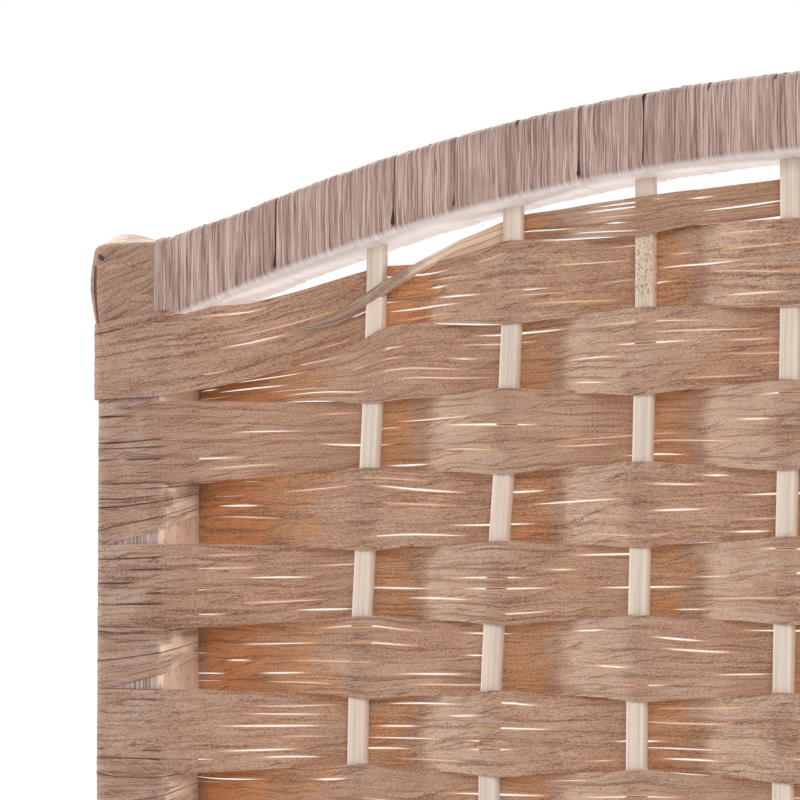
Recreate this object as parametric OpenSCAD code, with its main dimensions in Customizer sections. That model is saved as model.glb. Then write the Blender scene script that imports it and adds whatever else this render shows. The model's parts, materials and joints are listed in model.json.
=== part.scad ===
// Folding screen: three wooden frames woven with flat fibre ribbon, joined by butt hinges.
// It stands in a zigzag on the floor, with its front towards minus y. Sizes are in millimetres.

/* [Panel] */
// Width of one panel over its two stiles
panel_w = 450; // [444:1:520]
// Height of the stiles
stile_h = 1700; // [1500:10:1900]
// Angle between two neighbouring panels as the screen stands
panel_angle = 120; // [100:1:160]
// Side of the square wood that stiles and rails are cut from
stock = 20; // [18:0.5:22]
// Chamfer along the edges of a stile
stile_chamfer = 1; // [0.5:0.1:1.5]
// Chamfer along the edges of a rail
rail_chamfer = 2; // [1.8:0.1:3]
// Height that the arched top rail rises above the stiles
arch_rise = 35; // [30:1:50]
// Least clear height under the bottom rail
foot_h = 60; // [40:1:120]

/* [Stakes] */
// Number of upright stakes in one panel, always even
stake_count = 8; // [6:2:8]
// Distance between two stakes
stake_pitch = 41; // [34:0.5:42]
// Width of a stake
stake_w = 5.2; // [4:0.1:7]
// Thickness of a stake
stake_t = 4; // [3.5:0.1:5]
// Chamfer along the edges of a stake
stake_chamfer = 0.8; // [0.4:0.1:1.2]
// Depth that a stake goes into a rail
stake_seat = 8; // [5:0.5:12]

/* [Woven ribbon] */
// Height of one woven row, with the gap below it
row_pitch = 20; // [16:0.5:26]
// Gap between two rows
row_gap = 0.6; // [0.4:0.1:1]
// Thickness of the ribbon
ribbon_t = 0.8; // [0.5:0.1:1]
// Clearance between the ribbon and the wood or the turn under it
ribbon_clear = 0.1; // [0.05:0.01:0.2]
// Clearance between the ribbon and the edges of a stake
stake_clear = 0.2; // [0.1:0.05:0.3]
// Depth from the top of a stile to the first level row
level_drop = 44; // [42:1:50]
// Depth from the top of a stile to the second row's upper edge, where it passes the outer stakes
row_2_drop = 8; // [6:0.5:10]
// Rise of the second row's upper edge from the outer stakes to the middle of the panel
row_2_crown = 7; // [4:0.5:8]
// Fall of the second row's upper edge beyond the outer stakes, for each millimetre
row_2_slope = 0.2; // [0.15:0.01:0.3]
// Depth that the third row's upper edge dips at the stiles, to lie under the second row
row_3_dip = 12; // [9:0.5:14]
// Height of the first row, under the crown of the arch
row_1_h = 8; // [6:0.5:9]
// Height of the first row where it is twisted into a thin roll
roll_h = 4; // [3:0.5:5]
// Depth from the top of a stile to the roll, where it crosses an outer stake
roll_drop = 15; // [13:0.5:16]
// Distance from an outer stake to the place where the roll parts from the second row
roll_reach = 32; // [24:1:36]

/* [Rail tape] */
// Distance from one turn of tape to the next
tape_pitch = 18.6; // [18:0.1:24]
// Gap between two turns of tape
tape_gap = 0.6; // [0.5:0.1:1.5]
// Thickness of the tape
tape_t = 0.8; // [0.5:0.1:1]
// Clearance between the tape and the rail
tape_clear = 0.15; // [0.1:0.01:0.2]

/* [Dowels and fits] */
// Diameter of the dowels between rails and stiles
dowel_d = 8; // [6:0.5:10]
// Depth that a dowel goes into each piece
dowel_seat = 14; // [10:0.5:16]
// Clearance round a dowel, a screw or a stake in its hole
fit_clear = 0.05; // [0.02:0.01:0.1]

/* [Hinges] */
// Height of a hinge leaf
leaf_h = 50; // [40:1:70]
// Width of a hinge leaf across the stile
leaf_w = 16; // [14:0.5:18]
// Thickness of a hinge leaf
leaf_t = 1.2; // [1:0.1:2]
// Gap between the two leaves of a hinge when the panels are in line
leaf_gap = 0.6; // [0.6:0.1:1.2]
// Radius of a hinge knuckle
knuckle_r = 3; // [2.6:0.1:4]
// Number of knuckles in a hinge, always odd
knuckle_count = 5; // [3:2:7]
// Gap between two knuckles, and between a knuckle and what turns past it
knuckle_gap = 0.4; // [0.3:0.05:0.6]
// Radius of the hinge pin
pin_r = 1.4; // [1:0.1:1.6]
// Radius of the head of the pin
pin_head_r = 2.4; // [2:0.1:2.8]
// Height of the head of the pin
pin_head_h = 1.2; // [0.8:0.1:2]
// Running clearance between the pin and a knuckle
pin_clear = 0.05; // [0.02:0.01:0.1]
// Distance from the end of a stile to the middle of the nearest hinge
hinge_inset = 220; // [150:5:300]
// Radius of a screw shank
screw_r = 1.3; // [1:0.1:1.5]
// Radius of a screw head
screw_head_r = 2.5; // [2.2:0.1:3]
// Length of a screw
screw_len = 12; // [8:0.5:14]
// Distance from the end of a leaf to its nearest screw
screw_inset = 8; // [6:0.5:12]

/* [Hidden] */
$fn = 48;
wood_color = "#e3cfae";
ribbon_color = "#a98567";
tape_color = "#a8918a";
metal_color = "#b9a26a";

LEFT = -1;
RIGHT = 1;
FRONT = -1;
BACK = 1;

half_w = panel_w / 2;
half_t = stock / 2;
inner_x = half_w - stock;

// Arch of the top rail: a circle about a point on the panel's middle line
arch_facets = 180;
arch_r = (inner_x * inner_x + arch_rise * arch_rise) / (2 * arch_rise);
arch_z = stile_h + arch_rise - arch_r;
function rail_top(x) = arch_z + sqrt(arch_r * arch_r - x * x);
function rail_under(x) = arch_z + sqrt((arch_r - stock) * (arch_r - stock) - x * x);

// Level rows, counted down from the level line, and the bottom rail under them
level_z = stile_h - level_drop;
row_h = row_pitch - row_gap;
tape_d = tape_clear + tape_t;
row_count = floor((level_z - foot_h - stock - tape_d - row_gap) / row_pitch);
rows_end_z = level_z - row_count * row_pitch;
low_rail_top = rows_end_z - tape_d;
low_rail_under = low_rail_top - stock;

// Middle lines of the ribbon: over the wood in one or two layers, and round the stakes
layer = ribbon_clear + ribbon_t;
function wrap_x(n) = half_w + n * layer - ribbon_t / 2;
function wrap_y(n) = half_t + n * layer - ribbon_t / 2;
stake_edge = stake_w / 2 - stake_chamfer;
weave_y = (stake_t / 2 + stake_clear + ribbon_t / 2) / (1 - 2 * stake_edge / stake_pitch);

// Hinge axis, as distances from the middle of the panel that it joins
leaf_x = half_w + layer + ribbon_clear;
axis_x = leaf_x + leaf_t + leaf_gap / 2;
axis_y = half_t + layer + knuckle_r + knuckle_gap;
hinge_z = [hinge_inset, stile_h / 2, stile_h - hinge_inset];
screw_y = axis_y - knuckle_r - knuckle_gap - leaf_w / 2;
screw_z = [-leaf_h / 2 + screw_inset, 0, leaf_h / 2 - screw_inset];
knuckle_h = (leaf_h - (knuckle_count - 1) * knuckle_gap) / knuckle_count;

// Places of the panels: the middle one stands on the origin, the others turn on its hinges
yaw = (180 - panel_angle) / 2;

module on_panel(panel) {
  rotate([0, 0, yaw])
    translate([panel * axis_x, -panel * axis_y, 0])
      rotate([0, 0, panel == 0 ? 0 : -2 * yaw])
        translate([panel * axis_x, panel * axis_y, 0])
          children();
}

// Side of a panel that a hinge folds towards: the back on the left seam, the front on the right
function fold_side(panel, side) = panel + side == 0 ? side : panel == 0 ? -side : 0;

// Square stock with chamfered edges, as an outline about its middle
module chamfered_square(w, h, c) {
  polygon([
    [-w / 2 + c, -h / 2], [w / 2 - c, -h / 2], [w / 2, -h / 2 + c], [w / 2, h / 2 - c],
    [w / 2 - c, h / 2], [-w / 2 + c, h / 2], [-w / 2, h / 2 - c], [-w / 2, -h / 2 + c]
  ]);
}

// Holes that the screws of the three hinges on one side of a panel go through
module screw_holes(side, fold, depth) {
  for (z = hinge_z, dz = screw_z)
    translate([side * (leaf_x - depth), fold * screw_y, z + dz])
      rotate([0, side * 90, 0]) cylinder(r = screw_r + fit_clear, h = depth + leaf_t);
}

// Upright of a panel, with dowel holes on its inner side and screw holes on its outer side
module stile(side, fold) {
  color(wood_color) difference() {
    translate([side * (half_w - half_t), 0, 0]) intersection() {
      linear_extrude(stile_h) chamfered_square(stock, stock, stile_chamfer);
      translate([0, 0, stile_h / 2]) rotate([90, 0, 0]) linear_extrude(stock, center = true)
        chamfered_square(stock, stile_h, stile_chamfer);
    }
    for (z = [top_dowel_z, low_dowel_z]) dowel_hole(side, z);
    if (fold != 0) screw_holes(side, fold, screw_len + fit_clear);
  }
}

// Dowels, halfway up what both rails keep over the whole depth of a dowel
top_dowel_z = (rail_under(inner_x - dowel_seat) + stile_h) / 2;
low_dowel_z = low_rail_top - half_t;

module dowel_hole(side, z) {
  translate([side * inner_x, 0, z]) rotate([0, 90, 0])
    cylinder(d = dowel_d + 2 * fit_clear, h = 2 * (dowel_seat + fit_clear), center = true);
}

module dowels() {
  color(wood_color)
    for (side = [LEFT, RIGHT], z = [top_dowel_z, low_dowel_z])
      translate([side * inner_x, 0, z]) rotate([0, 90, 0])
        cylinder(d = dowel_d, h = 2 * dowel_seat, center = true);
}

// Arched rail: a chamfered square swept round the circle of the arch and cut off at the stiles
module top_rail() {
  color(wood_color) difference() {
    intersection() {
      translate([0, 0, arch_z]) rotate([90, 0, 0]) rotate_extrude($fn = arch_facets)
        translate([arch_r - half_t, 0]) chamfered_square(stock, stock, rail_chamfer);
      translate([-inner_x, -stock, stile_h - 2 * stock])
        cube([2 * inner_x, 2 * stock, 2 * stock + 2 * arch_rise]);
    }
    stake_holes();
    for (side = [LEFT, RIGHT]) dowel_hole(side, top_dowel_z);
  }
}

module bottom_rail() {
  color(wood_color) difference() {
    translate([0, 0, low_rail_top - half_t]) rotate([0, 90, 0])
      linear_extrude(2 * inner_x, center = true) chamfered_square(stock, stock, rail_chamfer);
    stake_holes();
    for (side = [LEFT, RIGHT]) dowel_hole(side, low_dowel_z);
  }
}

function stake_x(i) = (i - (stake_count - 1) / 2) * stake_pitch;
function stake_end(i) = rail_under(abs(stake_x(i)) + stake_w / 2) + stake_seat;
stake_start = low_rail_top - stake_seat;

module stakes() {
  color(wood_color)
    for (i = [0 : stake_count - 1])
      translate([stake_x(i), 0, stake_start]) linear_extrude(stake_end(i) - stake_start)
        chamfered_square(stake_w, stake_t, stake_chamfer);
}

module stake_holes() {
  for (i = [0 : stake_count - 1])
    translate([stake_x(i), 0, stake_start - fit_clear])
      linear_extrude(stake_end(i) - stake_start + 2 * fit_clear)
        chamfered_square(stake_w + 2 * fit_clear, stake_t + 2 * fit_clear, stake_chamfer);
}

// Outline of a ribbon in plan, made by offsetting its middle line to both sides with mitres
function unit(v) = v / norm(v);
function left_of(v) = [-v[1], v[0]];
function heading(p, i) = left_of(unit(p[i + 1] - p[i]));
function mitre(p, i) =
  i == 0 ? heading(p, 0) :
  i == len(p) - 1 ? heading(p, i - 1) :
  let (a = heading(p, i - 1), b = heading(p, i)) (a + b) / (1 + a * b);
function ribbon_outline(p) = concat(
  [for (i = [0 : len(p) - 1]) p[i] + mitre(p, i) * ribbon_t / 2],
  [for (i = [len(p) - 1 : -1 : 0]) p[i] - mitre(p, i) * ribbon_t / 2]
);

// Middle line across the stakes: first is the side of the outer left stake that it passes
function across_stakes(first) =
  [for (i = [0 : stake_count - 1]) [stake_x(i), (i % 2 == 0 ? first : -first) * weave_y]];

// Half turn over one stile, from its far face to the near one that the row leaves from.
// In a second layer it leaves the stile past the turn that lies under it.
inner_wrap_x = inner_x - ribbon_clear - ribbon_t / 2;
function leave_x(n) = n == 1 ? inner_x + stile_chamfer : inner_wrap_x - ribbon_t;
function half_turn(side, near, n) = [
  [side * (inner_x + stile_chamfer), -near * wrap_y(n)], [side * wrap_x(n), -near * wrap_y(n)],
  [side * wrap_x(n), near * wrap_y(n)], [side * leave_x(n), near * wrap_y(n)]
];

// Turn and a half, which also covers the inner side of the stile
inner_wrap_end = half_t / 2;
full_turn = [
  [inner_x + stile_chamfer, wrap_y(1)], [wrap_x(1), wrap_y(1)], [wrap_x(1), -wrap_y(1)],
  [inner_wrap_x, -wrap_y(1)], [inner_wrap_x, inner_wrap_end]
];

// An odd row passes in front of the left stile and behind the right one; an even row mirrors it
row_route = concat(half_turn(LEFT, FRONT, 1), across_stakes(BACK), full_turn);

function meets_hinge(k) =
  let (z = level_z - (k + 0.5) * row_pitch)
  min([for (h = hinge_z) abs(h - z)]) < (leaf_h + row_pitch) / 2;

module level_rows(panel, first, mirrored) {
  color(ribbon_color)
    for (k = [first : 2 : row_count - 1]) difference() {
      mirror([mirrored ? 1 : 0, 0, 0]) translate([0, 0, level_z - (k + 1) * row_pitch + row_gap])
        linear_extrude(row_h) polygon(ribbon_outline(row_route));
      if (meets_hinge(k)) for (side = [LEFT, RIGHT])
        if (fold_side(panel, side) != 0)
          screw_holes(side, fold_side(panel, side), layer + 2 * ribbon_clear);
    }
}

module seen_from_front(outline) {
  rotate([90, 0, 0]) linear_extrude(4 * stock, center = true) polygon(outline);
}

module ribbon_up(route) {
  translate([0, 0, level_z]) linear_extrude(level_drop + arch_rise) polygon(ribbon_outline(route));
}

function reversed(points) = [for (i = [len(points) - 1 : -1 : 0]) points[i]];
function mirrored(points) = [for (p = reversed(points)) [-p[0], p[1]]];

// Outline between a lower and an upper edge, which are functions of the place along the panel.
// Its points lie over the stakes, and closer together between an outer stake and its stile.
stake_out = stake_x(stake_count - 1);
swap_x = stake_out + (inner_x - stake_out) / 5;
bend_reach = stake_pitch / 4;
bend_x = stake_out + bend_reach / 2;
far_x = half_w + stock;
left_x = [
  -far_x, -inner_x, -inner_x + stock / 2, -swap_x, -bend_x, -stake_out, bend_reach - stake_out
];
inner_stakes = [for (i = [1 : stake_count - 2]) stake_x(i)];
edge_x = concat(left_x, inner_stakes, [for (x = reversed(left_x)) -x]);

// Under the rail, its tape and a gap
function under_rail(x) = rail_under(min(abs(x), inner_x)) - tape_d - row_gap;

// Line between the second row and the third, which falls towards the place where they swap sides
row_3_end_z = level_z + row_gap + row_h;
row_3_low_z = level_z + row_gap;
row_2_low_z = level_z + 3 * row_gap;
swap_fall = [
  [stake_out - bend_reach, 0], [stake_out, bend_reach / 4], [bend_x, 0.6 * bend_reach],
  [swap_x, 0.7 * bend_reach]
];
function fall(x, at_stile) = lookup(abs(x), concat(swap_fall, [[inner_x, at_stile]]));
function row_3_top(x) = row_3_end_z - fall(x, row_3_dip);
function row_2_low(x) = row_3_end_z + row_gap - fall(x, row_3_end_z + row_gap - row_2_low_z);
function row_2_rise(x) =
  let (a = abs(x))
  a < stake_out ? row_2_crown * (1 - a * a / (stake_out * stake_out)) : row_2_slope * (stake_out - a);
function row_2_top(x) = min(stile_h - row_2_drop + row_2_rise(x), under_rail(x));

// Third row: an even row directly above the level rows
module row_3() {
  intersection() {
    ribbon_up([for (p = row_route) [-p[0], p[1]]]);
    seen_from_front(concat(
      [[-far_x, row_3_low_z], [far_x, row_3_low_z]],
      [for (x = reversed(edge_x)) [x, row_3_top(x)]]
    ));
  }
}

// Turning a route half round about the upright through the panel's middle gives its other end
function turned(route) = [for (p = reversed(route)) -p];

// Second row: wide over the front of the left stile and the back of the right one
module row_2() {
  left_end = half_turn(LEFT, FRONT, 2);
  intersection() {
    ribbon_up(concat(left_end, across_stakes(BACK), turned(left_end)));
    seen_from_front(concat(
      [for (x = edge_x) [x, row_2_low(x)]], [for (x = reversed(edge_x)) [x, row_2_top(x)]]
    ));
  }
}

// First row: a thin roll that parts from the face of the second row, crosses the outer stake in
// front of it and opens out under the rail
roll_start_x = stake_out + roll_reach;
roll_start_z = (row_2_low(roll_start_x) + row_2_top(roll_start_x)) / 2;
roll_tip_h = 0.75 * roll_h;
lift_x = stake_out - 1.5 * bend_reach;
row_1_height = [[0, row_1_h], [stake_out - stake_pitch, 0.9 * row_1_h], [lift_x, roll_h]];
function row_1_low(x) = row_2_top(x) + row_gap;
function row_1_top(x) = min(row_1_low(x) + lookup(abs(x), row_1_height), under_rail(x));
row_1_x = concat([-lift_x], inner_stakes, [lift_x]);
roll_low = [[-roll_start_x, roll_start_z], [-stake_out, stile_h - roll_drop - roll_h]];
roll_top = [[-roll_start_x, roll_start_z + roll_tip_h], [-stake_out, stile_h - roll_drop]];

module row_1() {
  row_2_slant = (weave_y + wrap_y(2)) / (leave_x(2) - stake_out);
  start_y = weave_y - row_2_slant * roll_reach - layer * norm([1, row_2_slant]);
  left_end = [[-roll_start_x, start_y]];
  intersection() {
    ribbon_up(concat(left_end, across_stakes(FRONT), turned(left_end)));
    seen_from_front(concat(
      roll_low, [for (x = row_1_x) [x, row_1_low(x)]], mirrored(roll_low),
      reversed(concat(roll_top, [for (x = row_1_x) [x, row_1_top(x)]], mirrored(roll_top)))
    ));
  }
}

module arched_rows() {
  color(ribbon_color) {
    row_1();
    row_2();
    row_3();
  }
}

// Ribbon round the stiles beside both rails, folded over their tops
module stile_wraps() {
  wrap_route = [
    [inner_x + stile_chamfer, wrap_y(1)], [wrap_x(1), wrap_y(1)],
    [wrap_x(1), -wrap_y(1)], [inner_x + stile_chamfer, -wrap_y(1)]
  ];
  cap_z = row_3_top(inner_x) + row_gap;
  color(ribbon_color) for (side = [0, 1]) mirror([side, 0, 0]) {
    translate([0, 0, cap_z]) linear_extrude(stile_h + layer - cap_z)
      polygon(ribbon_outline(wrap_route));
    translate([inner_x + stile_chamfer, -half_t - layer, stile_h + ribbon_clear])
      cube([stock - stile_chamfer + layer, stock + 2 * layer, ribbon_t]);
    translate([0, 0, low_rail_under]) linear_extrude(rows_end_z - row_gap - low_rail_under)
      polygon(ribbon_outline(wrap_route));
  }
}

// Tape wound along a rail, one ring of points at each edge of the rail's chamfered section.
// It gains most of its pitch along the four sides and a little across the chamfers between them.
tape_w = tape_pitch - tape_gap;
tape_turns = floor((2 * inner_x - tape_w - 2 * row_gap) / tape_pitch);
side_share = 0.22;
ring_share = [for (side = [0 : 3], end = [0, side_share]) side / 4 + end];
corner = 0.8 * rail_chamfer;
function ring_x(k) =
  (floor(k / 8) + ring_share[k % 8] - tape_turns / 2) * tape_pitch;
function section_y(j, d) =
  let (a = half_t + d, b = half_t - corner) [-a, -a, -b, b, a, a, b, -b][j];
function section_z(j, d, top, under) =
  [under + corner, top - corner, top + d, top + d,
    top - corner, under + corner, under - d, under - d][j];
function tape_point(k, edge, d, arched) =
  let (
    x = ring_x(k) + edge * tape_w / 2,
    top = arched ? rail_top(x) : low_rail_top,
    under = arched ? rail_under(x) : low_rail_under
  )
  [x, section_y(k % 8, d), section_z(k % 8, d, top, under)];

module tape(arched) {
  last = 8 * tape_turns;
  points = [
    for (k = [0 : last]) each [
      tape_point(k, -1, tape_clear, arched), tape_point(k, 1, tape_clear, arched),
      tape_point(k, 1, tape_d, arched), tape_point(k, -1, tape_d, arched)
    ]
  ];
  sides = [
    for (k = [0 : last - 1], j = [0 : 3])
      let (a = 4 * k + j, b = 4 * k + (j + 1) % 4)
      each [[a, b, b + 4], [a, b + 4, a + 4]]
  ];
  far = 4 * last;
  ends = [[0, 3, 2], [0, 2, 1], [far, far + 1, far + 2], [far, far + 2, far + 3]];
  gaps = [
    for (k = [0 : last - 8])
      norm(tape_point(k, 1, tape_d, arched) - tape_point(k + 8, -1, tape_d, arched))
  ];
  echo("least gap between turns of tape", min(gaps));
  color(tape_color) difference() {
    polyhedron(points, concat(sides, ends));
    for (i = [0 : stake_count - 1])
      translate([stake_x(i), 0, arched ? rail_under(stake_x(i)) : low_rail_top])
        cube([stake_w + 2 * fit_clear, stake_t + 2 * fit_clear, half_t], center = true);
  }
}

// One leaf of a hinge about its pin's axis, standing on its side of the gap
module leaf(side, fold, own) {
  knuckle_pitch = knuckle_h + knuckle_gap;
  plate_y = knuckle_r + knuckle_gap;
  plate_x = leaf_gap / 2;
  plate_low_x = side > 0 ? -plate_x - leaf_t : plate_x;
  difference() {
    union() {
      translate([plate_low_x, fold > 0 ? -plate_y - leaf_w : plate_y, -leaf_h / 2])
        cube([leaf_t, leaf_w, leaf_h]);
      for (k = [own : 2 : knuckle_count - 1])
        translate([0, 0, -leaf_h / 2 + k * knuckle_pitch]) {
          cylinder(r = knuckle_r, h = knuckle_h);
          translate([plate_low_x, fold > 0 ? -plate_y : 0, 0])
            cube([leaf_t, plate_y, knuckle_h]);
        }
    }
    cylinder(r = pin_r + pin_clear, h = 2 * leaf_h, center = true);
    for (dz = screw_z)
      translate([-side * (plate_x + leaf_t), -fold * (plate_y + leaf_w / 2), dz])
        rotate([0, side * 90, 0])
          cylinder(r1 = screw_r + fit_clear, r2 = screw_head_r + fit_clear, h = leaf_t);
  }
}

module leaves(side, fold, own) {
  color(metal_color) for (z = hinge_z)
    translate([side * axis_x, fold * axis_y, z]) leaf(side, fold, own);
}

module pins(side, fold) {
  color(metal_color) for (z = hinge_z)
    translate([side * axis_x, fold * axis_y, z]) {
      translate([0, 0, -leaf_h / 2]) cylinder(r = pin_r, h = leaf_h + pin_clear);
      translate([0, 0, leaf_h / 2 + pin_clear]) cylinder(r = pin_head_r, h = pin_head_h);
    }
}

// Countersunk screws, flush with the leaf
module screws(side, fold) {
  color(metal_color) for (z = hinge_z, dz = screw_z)
    translate([side * (leaf_x + leaf_t - screw_len), fold * screw_y, z + dz])
      rotate([0, side * 90, 0]) {
        cylinder(r = screw_r, h = screw_len - leaf_t);
        translate([0, 0, screw_len - leaf_t])
          cylinder(r1 = screw_r, r2 = screw_head_r, h = leaf_t);
      }
}

on_panel(LEFT) stile(LEFT, fold_side(LEFT, LEFT));  // left_panel_left_stile
on_panel(LEFT) stile(RIGHT, fold_side(LEFT, RIGHT));  // left_panel_right_stile
on_panel(LEFT) top_rail();  // left_panel_top_rail
on_panel(LEFT) bottom_rail();  // left_panel_bottom_rail
on_panel(LEFT) dowels();  // left_panel_dowels
on_panel(LEFT) stakes();  // left_panel_stakes
on_panel(LEFT) level_rows(LEFT, 0, false);  // left_panel_odd_rows
on_panel(LEFT) level_rows(LEFT, 1, true);  // left_panel_even_rows
on_panel(LEFT) arched_rows();  // left_panel_arched_rows
on_panel(LEFT) stile_wraps();  // left_panel_stile_wraps
on_panel(LEFT) tape(true);  // left_panel_top_tape
on_panel(LEFT) tape(false);  // left_panel_bottom_tape

on_panel(0) stile(LEFT, fold_side(0, LEFT));  // middle_panel_left_stile
on_panel(0) stile(RIGHT, fold_side(0, RIGHT));  // middle_panel_right_stile
on_panel(0) top_rail();  // middle_panel_top_rail
on_panel(0) bottom_rail();  // middle_panel_bottom_rail
on_panel(0) dowels();  // middle_panel_dowels
on_panel(0) stakes();  // middle_panel_stakes
on_panel(0) level_rows(0, 0, false);  // middle_panel_odd_rows
on_panel(0) level_rows(0, 1, true);  // middle_panel_even_rows
on_panel(0) arched_rows();  // middle_panel_arched_rows
on_panel(0) stile_wraps();  // middle_panel_stile_wraps
on_panel(0) tape(true);  // middle_panel_top_tape
on_panel(0) tape(false);  // middle_panel_bottom_tape

on_panel(RIGHT) stile(LEFT, fold_side(RIGHT, LEFT));  // right_panel_left_stile
on_panel(RIGHT) stile(RIGHT, fold_side(RIGHT, RIGHT));  // right_panel_right_stile
on_panel(RIGHT) top_rail();  // right_panel_top_rail
on_panel(RIGHT) bottom_rail();  // right_panel_bottom_rail
on_panel(RIGHT) dowels();  // right_panel_dowels
on_panel(RIGHT) stakes();  // right_panel_stakes
on_panel(RIGHT) level_rows(RIGHT, 0, false);  // right_panel_odd_rows
on_panel(RIGHT) level_rows(RIGHT, 1, true);  // right_panel_even_rows
on_panel(RIGHT) arched_rows();  // right_panel_arched_rows
on_panel(RIGHT) stile_wraps();  // right_panel_stile_wraps
on_panel(RIGHT) tape(true);  // right_panel_top_tape
on_panel(RIGHT) tape(false);  // right_panel_bottom_tape

on_panel(0) leaves(LEFT, BACK, 0);  // left_seam_fixed_leaves
on_panel(LEFT) leaves(RIGHT, BACK, 1);  // left_seam_turning_leaves
on_panel(0) pins(LEFT, BACK);  // left_seam_pins
on_panel(0) screws(LEFT, BACK);  // left_seam_fixed_screws
on_panel(LEFT) screws(RIGHT, BACK);  // left_seam_turning_screws
on_panel(0) leaves(RIGHT, FRONT, 0);  // right_seam_fixed_leaves
on_panel(RIGHT) leaves(LEFT, FRONT, 1);  // right_seam_turning_leaves
on_panel(0) pins(RIGHT, FRONT);  // right_seam_pins
on_panel(0) screws(RIGHT, FRONT);  // right_seam_fixed_screws
on_panel(RIGHT) screws(LEFT, FRONT);  // right_seam_turning_screws
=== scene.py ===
"""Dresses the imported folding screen: woven fibre ribbon, crepe tape, bare wood and brass hinges.

Shapes are worked out in a panel's own frame, in millimetres: x along its width from its middle,
y towards its back, z up from the floor. They become metres where a mesh is made.
"""
import json
import logging
import math
from dataclasses import dataclass, field, replace
from enum import Enum

import bpy
import numpy as np
from mathutils import Matrix, Vector


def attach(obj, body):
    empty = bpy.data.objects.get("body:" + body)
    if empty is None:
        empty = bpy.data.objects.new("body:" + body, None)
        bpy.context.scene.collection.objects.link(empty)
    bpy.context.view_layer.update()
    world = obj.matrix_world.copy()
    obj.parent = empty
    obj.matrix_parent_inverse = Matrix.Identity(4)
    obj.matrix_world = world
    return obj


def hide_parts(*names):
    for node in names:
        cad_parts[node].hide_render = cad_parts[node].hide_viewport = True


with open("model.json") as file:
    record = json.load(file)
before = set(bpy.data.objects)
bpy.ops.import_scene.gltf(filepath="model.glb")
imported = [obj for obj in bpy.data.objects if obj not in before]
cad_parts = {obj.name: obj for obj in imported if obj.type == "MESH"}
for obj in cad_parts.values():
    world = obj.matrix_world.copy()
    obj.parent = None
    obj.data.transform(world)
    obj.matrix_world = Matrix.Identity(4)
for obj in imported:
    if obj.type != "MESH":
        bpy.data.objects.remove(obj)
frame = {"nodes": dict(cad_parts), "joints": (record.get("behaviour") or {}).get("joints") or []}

log = logging.getLogger("folding_screen")

MM = 0.001
LEFT, RIGHT = -1, 1
BAKE_MAP = "OFBake"
SEED_MOST = 100
WEAVE_SEED = 40
TAPE_SEED = 70
STRIP_MARGIN = 0.05
TONE = "tone"
WEAVE = "weave"

Line = np.ndarray
Pair = tuple[float, float]
Triple = tuple[float, float, float]
Material = bpy.types.Material
Node = bpy.types.Node
Object = bpy.types.Object
Socket = bpy.types.NodeSocket


class Passes(Enum):
    """Side of the outer left stake that a row passes."""

    FRONT = -1
    BACK = 1


@dataclass(frozen=True)
class ScreenSizes:
    """Driving sizes of one panel's frame and weave, in millimetres, as the solids have them."""

    panel_w: float = 450.0
    stile_h: float = 1700.0
    stock: float = 20.0
    arch_rise: float = 35.0
    stake_count: int = 8
    stake_pitch: float = 41.0
    row_pitch: float = 20.0
    level_drop: float = 44.0
    row_count: int = 78
    tape_thick: float = 0.95
    tape_pitch: float = 18.6

    @property
    def half_w(self) -> float:
        """Half the width of a panel."""
        return self.panel_w / 2

    @property
    def half_t(self) -> float:
        """Half the thickness of the frame."""
        return self.stock / 2

    @property
    def inner_x(self) -> float:
        """Distance from the panel's middle to the inner side of a stile."""
        return self.half_w - self.stock

    @property
    def level_z(self) -> float:
        """Height of the top of the first level row."""
        return self.stile_h - self.level_drop

    @property
    def rows_end_z(self) -> float:
        """Height at which the last level row ends."""
        return self.level_z - self.row_count * self.row_pitch

    @property
    def low_rail_under(self) -> float:
        """Height of the underside of the bottom rail."""
        return self.rows_end_z - self.tape_thick - self.stock

    @property
    def stakes(self) -> Line:
        """Places of the stakes along the panel."""
        return (np.arange(self.stake_count) - (self.stake_count - 1) / 2) * self.stake_pitch

    def arch(self, x: Line, depth: float) -> Line:
        """Height of the arched rail.

        Args:
            x: Places along the panel.
            depth: Distance under the outer curve of the rail.

        Returns:
            Heights above the floor.
        """
        radius = (self.inner_x**2 + self.arch_rise**2) / (2 * self.arch_rise)
        centre = self.stile_h + self.arch_rise - radius
        return centre + np.sqrt((radius - depth) ** 2 - np.square(x))


SIZES = ScreenSizes()


def eased(share: Line) -> Line:
    """Smooth step from 0 to 1 of a share that is first held between 0 and 1."""
    held = np.clip(share, 0, 1)
    return held * held * (3 - 2 * held)


def hump(x: Line, centre: float, reach: float) -> Line:
    """Bell curve of height 1 about a centre."""
    return np.exp(-np.square((x - centre) / reach))


def blend(first: Line, second: Line, share: Line) -> Line:
    """Value that lies a share of the way from the first to the second."""
    return first + (second - first) * share


def halfway(rows: Line) -> Line:
    """Values halfway between each row and the next."""
    return (rows[1:] + rows[:-1]) / 2


def travel(points: Line) -> Line:
    """Distance along a line at each of its points."""
    return np.concatenate([[0], np.cumsum(np.linalg.norm(np.diff(points, axis=0), axis=1))])


def smooth(place: Line, knots: Line) -> Line:
    """Smooth line through knots, where a place of 1.5 lies halfway between knots 1 and 2.

    Args:
        place: Places among the knots.
        knots: A number, or a row of numbers, for each whole place.

    Returns:
        A number, or a row of numbers, for each place.
    """
    whole = np.clip(place.astype(int), 0, len(knots) - 2)
    share = eased(place - whole).reshape(-1, *[1] * (knots.ndim - 1))
    return knots[whole] * (1 - share) + knots[whole + 1] * share


def wander(rng: np.random.Generator, at: Line, wave: float, amount: float) -> Line:
    """Slow random rise and fall along a line.

    Args:
        rng: Source of the random knots.
        at: Places along the line.
        wave: Distance between two knots.
        amount: Standard deviation of the knots.

    Returns:
        One value for each place.
    """
    place = (at - at.min()) / wave
    return smooth(place, rng.normal(0, amount, int(place.max()) + 2))


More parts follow.
